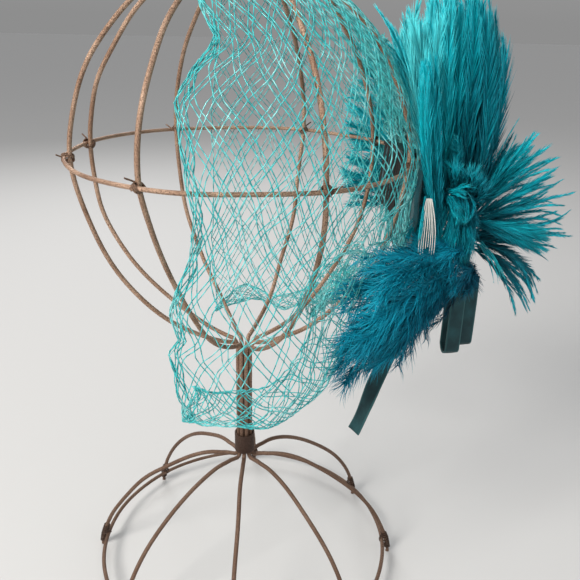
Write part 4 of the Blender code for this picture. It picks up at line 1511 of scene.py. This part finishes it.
@dataclass
class Feathers:
    """The five clumps: tall plume, spray to the side, short middle, downy spray below and bare quills."""

    depth_layers: tuple[tuple[int, int], ...] = ((-19, 15), (-11, 15), (-3, 14), (6, 13), (15, 12))
    quill_count: int = 8

    def plume(self, material: Material) -> None:
        """The tall plume, a brush of long feathers that widens and closes in again at its top.

        Args:
            material: What its feathers are made of.
        """
        size = FeatherSize(0.00110, 0.0200, 0.00046, 13.0, 4.0, 0.12, 1.2, 0.0035, 70.0, 2, Vane.HACKLE)
        clump = FeatherClump("tall_plume", "upright_plume", size, 3)
        for y, count in self.depth_layers:
            root_y = y / 2
            # Painted shade: the farther layers are darker, and each layer goes from painted light on its left to
            # painted shade on its right.
            far_painted_shade = 8.0 * max(y / 1000, 0.0)
            keys = shafts(
                (0.0, -1, 0),
                (104, root_y, 246, 89, y, 300, 83, y, 338, 1, 3.0 - far_painted_shade, -0.5, -0.9, 0),
                (110, root_y, 245, 101, y, 304, 96, y, 351, 1, 1.55 - far_painted_shade, -0.2, -1, 0),
                (118, root_y, 244, 115, y, 305, 110, y, 356, 1, 0.48 - far_painted_shade, 0.1, -1, 0),
                (124, root_y, 244, 126, y, 302, 118, y, 350, 1, 0.30 - far_painted_shade, 0.3, -1, 0),
                (129, root_y, 246, 135, y, 296, 127, y, 333, 1, 0.12 - far_painted_shade, 0.5, -0.9, 0),
            )
            clump.fan(keys, count, 0.0045 + 0.001 * abs(-0.5 * (y / 1000) / 0.018), 60.0 if y < 0 else 80.0)
        strays = shafts(
            (0.25, -1, 0.1),
            (106, -6, 252, 87.5, -10, 312, 68, -13, 346, 0.6, 1.6),
            (106, -4, 252, 86, -6, 300, 73, -12, 328, 0.6, 1.7),
            (108, 0, 252, 89, -4, 318, 78, -8, 352, 0.6, 1.5),
        )
        edging = shafts(
            (-0.3, -1, 0),
            (101, -36, 238, 90.5, -42, 272, 84, -34, 318, 0.7, 1.0),
            (103, -36, 242, 95.5, -43, 276, 90.5, -34, 330, 0.7, 0.7, -0.1, -1, 0),
        )
        clump.fan(strays, 9, 0.004)
        clump.fan(edging, 9, 0.0030, 75.0, 0.009)
        clump.build(material)

    def side(self, material: Material) -> None:
        """The spray of pointed feathers that stands out to the side.

        Args:
            material: What its feathers are made of.
        """
        size = FeatherSize(0.00085, 0.0150, 0.00040, 15.0, 7.0, 0.10, 2.0, 0.0050, 100.0, 2, Vane.SPIKE)
        clump = FeatherClump("side_feathers", "side_spray", size, 5)
        # The number after the reach paints light and shade: the upper and outer feathers are lit, the drooping and
        # back ones in painted shade.
        upper = shafts(
            (0.3, -1, 0.0),
            (126, -12, 250, 136, -14, 274, 146, -14, 292, 0.8, 0.75),
            (127, -13, 247, 141, -16, 267, 156, -15, 281, 0.95, 0.95, 0.2, -1, 0.1),
            (129, -14, 243, 146, -17, 258, 165, -14, 271, 0.95, 0.75, 0.2, -1, 0.2),
        )
        outer = shafts(
            (0.1, -1, 0.3),
            (125, -14, 243, 150, -16, 255, 172, -12, 264, 0.70, 0.60),
            (125, -14, 240, 152, -16, 248, 174, -12, 253, 0.70, 0.50),
            (125, -14, 236, 153, -15, 241, 176, -11, 243, 0.70, 0.40),
            (125, -14, 233, 154, -14, 235, 179, -12, 232, 0.70, 0.40),
            (125, -14, 230, 151, -14, 228, 172, -13, 219, 0.70, 0.30),
        )
        drooping = shafts(
            (0.2, -1, 0.2),
            (131, -12, 228, 155, -13, 222, 170, -12, 204, 0.80, 0.12),
            (130, -12, 226, 150, -14, 216, 165, -14, 197, 0.80, 0.08),
            (129, -13, 224, 143, -16, 212, 157, -16, 193, 0.70, 0.02, 0.2, -1, 0.1),
        )
        backs = shafts(
            (0.2, -1, 0.2),
            (126, 0, 250, 139, 6, 268, 151, 10, 283, 0.9, 0.25),
            (128, 0, 240, 149, 6, 249, 170, 10, 254, 0.9, 0.15),
            (128, 0, 230, 147, 5, 226, 166, 8, 214, 0.9, 0.10),
        )
        broad = shafts(
            (0.0, -0.8, 0.6),
            (126, -24, 244, 146, -30, 242, 163, -28, 240, 1.2, 0.95),
            (127, -24, 240, 145, -29, 233, 163, -27, 224, 1.2, 0.75),
        )
        bare = shafts(
            (0, -1, 0.2),
            (128, -21, 230, 135, -24, 220, 140, -24, 208, 0.14, 1.6),
            (130, -21, 231, 139, -24, 223, 147, -23, 210, 0.14, 1.6),
        )
        clump.fan(upper, 18, 0.0040, deep=0.010)
        clump.fan(outer, 20, 0.0045, deep=0.011)
        clump.fan(drooping, 13, 0.0040, deep=0.008)
        clump.fan(backs, 14, 0.0050)
        clump.fan(broad, 6, 0.0015, 15.0)
        clump.fan(bare, 6, 0.0015)
        clump.build(material)

    def centre(self, material: Material) -> None:
        """The short feathers over the middle, round a dark hollow, and those over and beyond the felt.

        Args:
            material: What its feathers are made of.
        """
        size = FeatherSize(0.00075, 0.0120, 0.00046, 22.0, 9.0, 0.16, 3.0, 0.0060, 110.0, 2, Vane.ROUND)
        clump = FeatherClump("middle_feathers", "centre_tuft", size, 7)
        falling = shafts(
            (0.1, -1, 0.2),
            (98, -29, 262, 90.5, -38, 252, 86.5, -41, 238, 0.8, 0.75),
            (103, -29, 262, 96, -40, 250, 92, -43, 232, 0.9, 0.55),
            (109, -28, 258, 104, -40, 247, 101, -42, 229, 0.9, 0.80),
            (115, -27, 256, 113, -39, 244, 111, -41, 229, 0.9, 0.45),
            (120, -24, 254, 121, -36, 244, 120, -37, 230, 0.9, 0.35),
        )
        rising = shafts(
            (0.1, -1, 0.3),
            (101, -26, 254, 92.5, -33, 260, 88.5, -33, 268, 0.8, 0.50),
            (105, -26, 258, 98.5, -34, 268, 98, -31, 277, 0.8, 0.65),
            (112, -26, 262, 108, -36, 270, 106, -33, 276, 0.7, 0.75),
            (116, -26, 260, 117, -35, 267, 116, -33, 272, 0.8, 0.35),
            (120, -25, 254, 124, -31, 258, 125, -31, 264, 0.8, 0.25),
        )
        rim = shafts(
            (0.1, -1, 0.2),
            (104, -34, 262, 106.5, -41, 267, 111, -42, 267, 0.5, 1.0, 0.1, -1, 0.3),
            (104, -34, 260, 103.5, -42, 256, 107, -44, 251, 0.5, 0.9),
            (115, -33, 262, 117, -40, 257, 115, -43, 249, 0.5, 0.4),
        )
        lit = shafts(
            (0.1, -1, 0.1),
            (90, -44, 262, 87.5, -49, 253, 87, -50, 242, 0.32, 1.5),
            (91, -44, 262, 89, -49, 252, 88.5, -50, 243, 0.32, 1.3),
        )
        over_felt = shafts(
            (1, 0.1, 0.1),
            (112, -4, 268, 108, 14, 277, 102, 28, 283, 1.0, 0.45),
            (112, -2, 262, 108, 20, 264, 99, 40, 264, 1.0, 0.30, 1, 0.2, 0.1),
            (112, -2, 256, 108, 20, 248, 99, 38, 238, 1.0, 0.20, 1, 0.2, 0.1),
            (112, -4, 250, 109, 14, 234, 103, 26, 216, 1.0, 0.20),
            (113, -8, 246, 112, 0, 226, 107, 4, 208, 1.0, 0.15, 1, 0.0, 0.1),
        )
        beyond = shafts(
            (-0.3, -0.9, 0.2),
            (106, 12, 262, 87, 38, 310, 69, 48, 340, 1.1, 2.0),
            (106, 14, 260, 89, 43, 293, 70, 56, 312, 1.15, 1.9),
            (107, 16, 254, 90, 47, 272, 69, 64, 284, 1.15, 1.3),
            (107, 16, 248, 90, 47, 253, 68, 67, 256, 1.15, 0.6),
            (107, 14, 242, 90, 44, 236, 70, 64, 226, 1.0, 0.2),
        )
        near_felt = shafts(
            (1, -0.3, 0.1),
            (113, -10, 262, 112, -18, 276, 106, -26, 287, 0.9, 0.60),
            (114, -10, 254, 114, -22, 262, 109, -31, 268, 0.9, 0.40, 1, -0.4, 0.1),
            (114, -10, 246, 114, -18, 234, 109, -24, 216, 0.9, 0.20, 1, -0.2, 0.1),
        )
        clump.fan(beyond, 34, 0.0045)
        clump.fan(near_felt, 16, 0.0040, 35.0)
        clump.fan(over_felt, 40, 0.0045, 35.0)
        clump.fan(falling, 46, 0.0040)
        clump.fan(rising, 30, 0.0040)
        clump.fan(rim, 12, 0.0015)
        clump.fan(lit, 3, 0.0006, 10.0)
        clump.build(material)

    def lower(self, material: Material) -> None:
        """The downy spray below, brushed out to the left and down.

        Args:
            material: What its feathers are made of.
        """
        size = FeatherSize(0.00105, 0.0165, 0.00034, 30.0, 14.0, 0.30, 5.0, 0.0105, 75.0, 3, Vane.DOWNY)
        clump = FeatherClump("downy_spray", "lower_spray", size, 9)
        # The number after the reach paints light and shade: the upper feathers are lit, the lower right ones by the
        # loops are in painted shade.
        keys = shafts(
            (0.0, -1, 0.5),
            (108, -33, 228, 84, -47, 234, 60, -52, 230, 0.75, 1.00),
            (110, -34, 224, 80, -52, 228, 52, -60, 219, 0.85, 1.10),
            (112, -33, 220, 79, -55, 219, 49, -66, 205, 0.95, 1.10),
            (114, -32, 217, 80, -54, 209, 46, -66, 190, 1.0, 0.65, 0.0, -1, 0.4),
            (115, -31, 214, 81, -52, 201, 46, -64, 179, 1.0, 0.50, 0.0, -1, 0.4),
            (116, -30, 212, 85, -49, 195, 53, -60, 167, 0.95, 0.40, 0.0, -1, 0.4),
            (117, -29, 210, 94, -45, 197, 75, -55, 174, 0.80, 0.12, 0.0, -1, 0.3),
            (118, -28, 209, 100, -42, 199, 87, -50, 184, 0.65, -0.10, 0.0, -1, 0.3),
            (119, -27, 210, 108, -38, 201, 101, -43, 189, 0.50, -0.30, 0.0, -1, 0.3),
        )
        near = []
        for key in keys[:7]:
            middle = (key.middle[0], key.middle[1] - 0.011, key.middle[2] + 0.002)
            tip = tuple(0.82 * t + 0.18 * r + d for t, r, d in zip(key.tip, key.root, (0.0, -0.013, 0.006)))
            # The nearer feathers get a little more painted light.
            near.append(FeatherPath(key.root, middle, tip, key.face, key.reach, key.shade + 0.12))
        top = shafts(
            (0.0, -1, 0.5),
            (118, -28, 222, 103, -43, 236, 87, -47, 238, 0.6, 1.00),
            (122, -26, 220, 110, -42, 231, 97, -48, 231, 0.6, 0.85),
            (126, -24, 216, 116, -40, 224, 104, -50, 222, 0.6, 0.45),
            (128, -23, 212, 120, -37, 215, 110, -46, 209, 0.55, 0.25),
        )
        end = shafts(
            (0.3, -1, 0.3),
            (122, -22, 224, 127, -26, 216, 128, -27, 208, 0.5, 0.00),
            (118, -24, 220, 121, -30, 210, 122, -31, 202, 0.5, -0.15),
        )
        clump.fan(keys, 34, 0.0055)
        clump.fan(near, 26, 0.0055)
        clump.fan(top, 20, 0.0045)
        clump.fan(end, 12, 0.0030)
        clump.build(material)

    def quills(self) -> None:
        """The bunch of bare quills, pale and dark in turn, held together at the top."""
        guide = Guide()
        share = np.linspace(0, 1, 12)[:, None]
        for index in range(self.quill_count):
            s = index / (self.quill_count - 1)
            top = np.array([0.0905 + 0.0022 * s, -0.0462 - 0.0006 * (index % 2), 0.2615])
            low = np.array([0.0882 + 0.0080 * s, -0.0486, 0.2345 + 0.0030 * math.sin(5.0 * index)])
            bow = np.array([(s - 0.5) * 0.002, -0.0012, 0.0]) * np.sin(math.pi * share)
            guide.add(top + (low - top) * share + bow, girth=1.0 - 0.35 * share[:, 0], shade=0.2 * (index % 2))
        quill = StrippedQuill("stripped_quills").make()
        grown("bare_quills", ["quill_bunch"], "quills", guide, "wire", Radius=0.00030, Sides=6, Material=quill)

    def build(self) -> None:
        """Make all the clumps."""
        teal = ((0.000, 0.060, 0.090), (0.000, 0.235, 0.310), (0.000, 0.580, 0.680))
        blue = ((0.000, 0.030, 0.060), (0.000, 0.150, 0.240), (0.000, 0.390, 0.560))
        bright = DyedFeather("dyed_feather", *teal).make()
        deep = DyedFeather("dyed_down", *blue, (0.02, 0.55, 0.70), (0.01, 0.20, 0.27)).make()
        for clump in (self.plume, self.side, self.centre):
            clump(bright)
        self.lower(deep)
        self.quills()


@dataclass
class Ribbons:
    """Velvet ribbon: two hanging loops and a tail with a half twist."""

    width: float = 0.0085
    thick: float = 0.0009
    cup: float = 0.00025
    tail: tuple[tuple[float, ...], ...] = (
        *((0.0960, -0.0240, 0.1990, 0.0), (0.0905, -0.0275, 0.1870, 5.0), (0.0845, -0.0310, 0.1750, 10.0)),
        *((0.0782, -0.0360, 0.1630, 16.0), (0.0732, -0.0400, 0.1535, 30.0), (0.0702, -0.0425, 0.1465, 46.0)),
        *((0.0677, -0.0440, 0.1400, 58.0), (0.0652, -0.0450, 0.1333, 62.0), (0.0622, -0.0460, 0.1265, 58.0)),
    )

    def smooth(self, rows: np.ndarray, count: int) -> np.ndarray:
        """Pass a smooth line through rows of numbers.

        Args:
            rows: What it passes through.
            count: How many points it gets.

        Returns:
            Its points.
        """
        padded = np.concatenate([2 * rows[:1] - rows[1:2], rows, 2 * rows[-1:] - rows[-2:-1]])
        ticks = np.linspace(0, len(rows) - 1 - 1e-9, count)
        k = ticks.astype(int)
        t = (ticks - k)[:, None]
        a, b, c, d = (padded[k + shift] for shift in range(4))
        return 0.5 * (2 * b + (c - a) * t + (2 * a - 5 * b + 4 * c - d) * t**2 + (3 * b - a - 3 * c + d) * t**3)

    def strip(self, name: str, node: str, centres: np.ndarray, sides: np.ndarray, velvet: Material) -> None:
        """Make one length of ribbon.

        Args:
            name: The piece's name.
            node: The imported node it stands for.
            centres: Its centre line.
            sides: Which way its width lies at each point.
            velvet: What it is made of.
        """
        shares = np.linspace(-1, 1, 13)
        along = unit(np.gradient(centres, axis=0))
        sides = unit(sides - along * (sides * along).sum(1, keepdims=True))
        width, cup = shares * self.width / 2, self.cup * (1 - shares**2)
        grid = centres[:, None] + sides[:, None] * width[:, None] + np.cross(along, sides)[:, None] * cup[:, None]
        run = run_along(centres)
        piece = placed(name, [node], "ribbon", sheet_mesh(name, grid, across=np.abs(shares), run=run[:, None]))
        walled(piece, velvet, self.thick)
        length = round(float(run[-1]), 4)
        flat = (max(self.width, LEAST_CLOTH_WIDTH), max(length, LEAST_CLOTH_WIDTH))

    def build(self) -> None:
        """Make the loops and the tail."""
        velvet = Velvet("velvet_ribbon").make()
        for name, node, (x, y, z), height, bend in (
            ("front_loop", "ribbon_loop_1", (0.1202, -0.0190, 0.1682), 0.0418, 0.0052),
            ("back_loop", "ribbon_loop_2", (0.1286, -0.0146, 0.1712), 0.0388, 0.0050),
        ):
            front = [(x, y - bend * 0.8, z + height), (x, y - bend, z + height * 0.55)]
            turns = np.radians(np.linspace(180, 360, 9))
            bow = [(x, y + bend * math.cos(turn), z + bend * math.sin(turn)) for turn in turns]
            back = [(x, y + bend * 0.8, z + height * 0.55), (x, y - bend * 0.3, z + height)]
            centres = self.smooth(np.array(front + bow + back), 90)
            self.strip(name, node, centres, np.tile([1.0, 0.12, 0.0], (len(centres), 1)), velvet)
        rows = self.smooth(np.array(self.tail), 80)
        centres, turns = rows[:, :3], np.radians(rows[:, 3:])
        along = unit(np.gradient(centres, axis=0))
        level = unit(np.cross(np.tile([0.0, 1.0, 0.0], (len(along), 1)), along))
        sides = level * np.cos(turns) + np.cross(along, level) * np.sin(turns)
        self.strip("ribbon_end", "ribbon_tail", centres, sides, velvet)


@dataclass
class Studio:
    """A pale floor, soft lights and the camera at the photograph's place."""

    focal_pixels: float = 658.35
    frame_pixels: float = 580.0
    sensor: float = 36.0
    eye: Point = (0.00526, -0.3574, 0.3419)
    yaw: float = 3.514
    pitch: float = 22.46
    roll: float = 1.324
    light_aim: Point = (0.0, 0.0, 0.22)

    def camera(self) -> None:
        """Set up the camera."""
        lens = bpy.data.cameras.new("view")
        lens.sensor_width, lens.sensor_fit, lens.clip_start = self.sensor, "HORIZONTAL", 0.01
        lens.lens = self.sensor * self.focal_pixels / self.frame_pixels
        camera = linked("view", lens)
        yaw, pitch, roll = (math.radians(value) for value in (self.yaw, self.pitch, self.roll))
        ahead = np.array([math.sin(yaw) * math.cos(pitch), math.cos(yaw) * math.cos(pitch), -math.sin(pitch)])
        level = np.array([math.cos(yaw), -math.sin(yaw), 0.0])
        up = np.cross(level, ahead)
        right = math.cos(roll) * level + math.sin(roll) * up
        top = -math.sin(roll) * level + math.cos(roll) * up
        turn = Matrix(np.stack([right, top, -ahead], axis=1).tolist()).to_4x4()
        camera.matrix_world = Matrix.Translation(np.array(self.eye) + AXIS_SHIFT) @ turn
        bpy.context.scene.camera = camera

    def light(self, name: str, place: Point, size: float, power: float, colour: Colour) -> None:
        """Hang a square soft light that faces the head.

        Args:
            name: The light's name.
            place: Where it hangs.
            size: Its width.
            power: Its power, in watts.
            colour: Its colour.
        """
        lamp = bpy.data.lights.new(name, "AREA")
        lamp.size, lamp.energy, lamp.color = size, power, colour
        made = linked(name, lamp)
        made.location = place
        made.rotation_euler = (Vector(self.light_aim) - Vector(place)).to_track_quat("-Z", "Y").to_euler()

    def floor(self) -> None:
        """Lay the floor."""
        mesh = bpy.data.meshes.new("floor")
        shape = bmesh.new()
        bmesh.ops.create_grid(shape, x_segments=1, y_segments=1, size=12.0)
        shape.to_mesh(mesh)
        shape.free()
        mesh.transform(Matrix.Translation((0.0, 0.0, -0.0002)))
        mesh.materials.append(FinishBench("floor").set(Base_Color=(0.56, 0.555, 0.545), Roughness=0.8))
        linked("floor", mesh)

    def sky(self) -> None:
        """Make an even sky that meets the floor's own grey at the horizon."""
        world = bpy.data.worlds.new("studio")
        world.use_nodes = True
        bench = NodeBench(world.node_tree)
        heading = bench.get("ShaderNodeTexCoord", out="Generated")
        rise = bench.banded(bench.get("ShaderNodeSeparateXYZ", {0: heading}, "Z"), 0.0, 0.5)
        background = world.node_tree.nodes["Background"]
        bench.feed(background.inputs["Color"], bench.mixed(rise, (0.52, 0.52, 0.52), (0.96, 0.97, 0.99)))
        bench.feed(background.inputs["Strength"], 0.52)
        bpy.context.scene.world = world

    def build(self) -> None:
        """Set up the camera, the floor, the lights and the sky."""
        self.camera()
        self.floor()
        self.light("key", (-0.85, -0.75, 1.05), 0.50, 21.0, (1.0, 0.97, 0.93))
        self.light("fill", (0.95, -0.75, 0.55), 0.90, 3.5, (0.94, 0.97, 1.0))
        self.light("rim", (-0.35, 1.05, 0.95), 0.60, 7.0, (1.0, 1.0, 1.0))
        self.sky()
        bpy.context.scene.view_settings.view_transform = "Standard"


def main() -> None:
    """Build every part of the fascinator and its stand, then the studio."""
    logging.basicConfig(level=logging.INFO, format="%(name)s %(message)s")
    SHARED.update(wire=wire_tree(), barb=barb_tree(), grain=grain_group())
    Studio().build()
    stand = WireStand()
    stand.build()
    for part in (FeltBase(), NetVeil(stand), Feathers(), Ribbons()):
        part.build()
    LOG.info("boxes written")


if __name__ == "__main__":
    main()
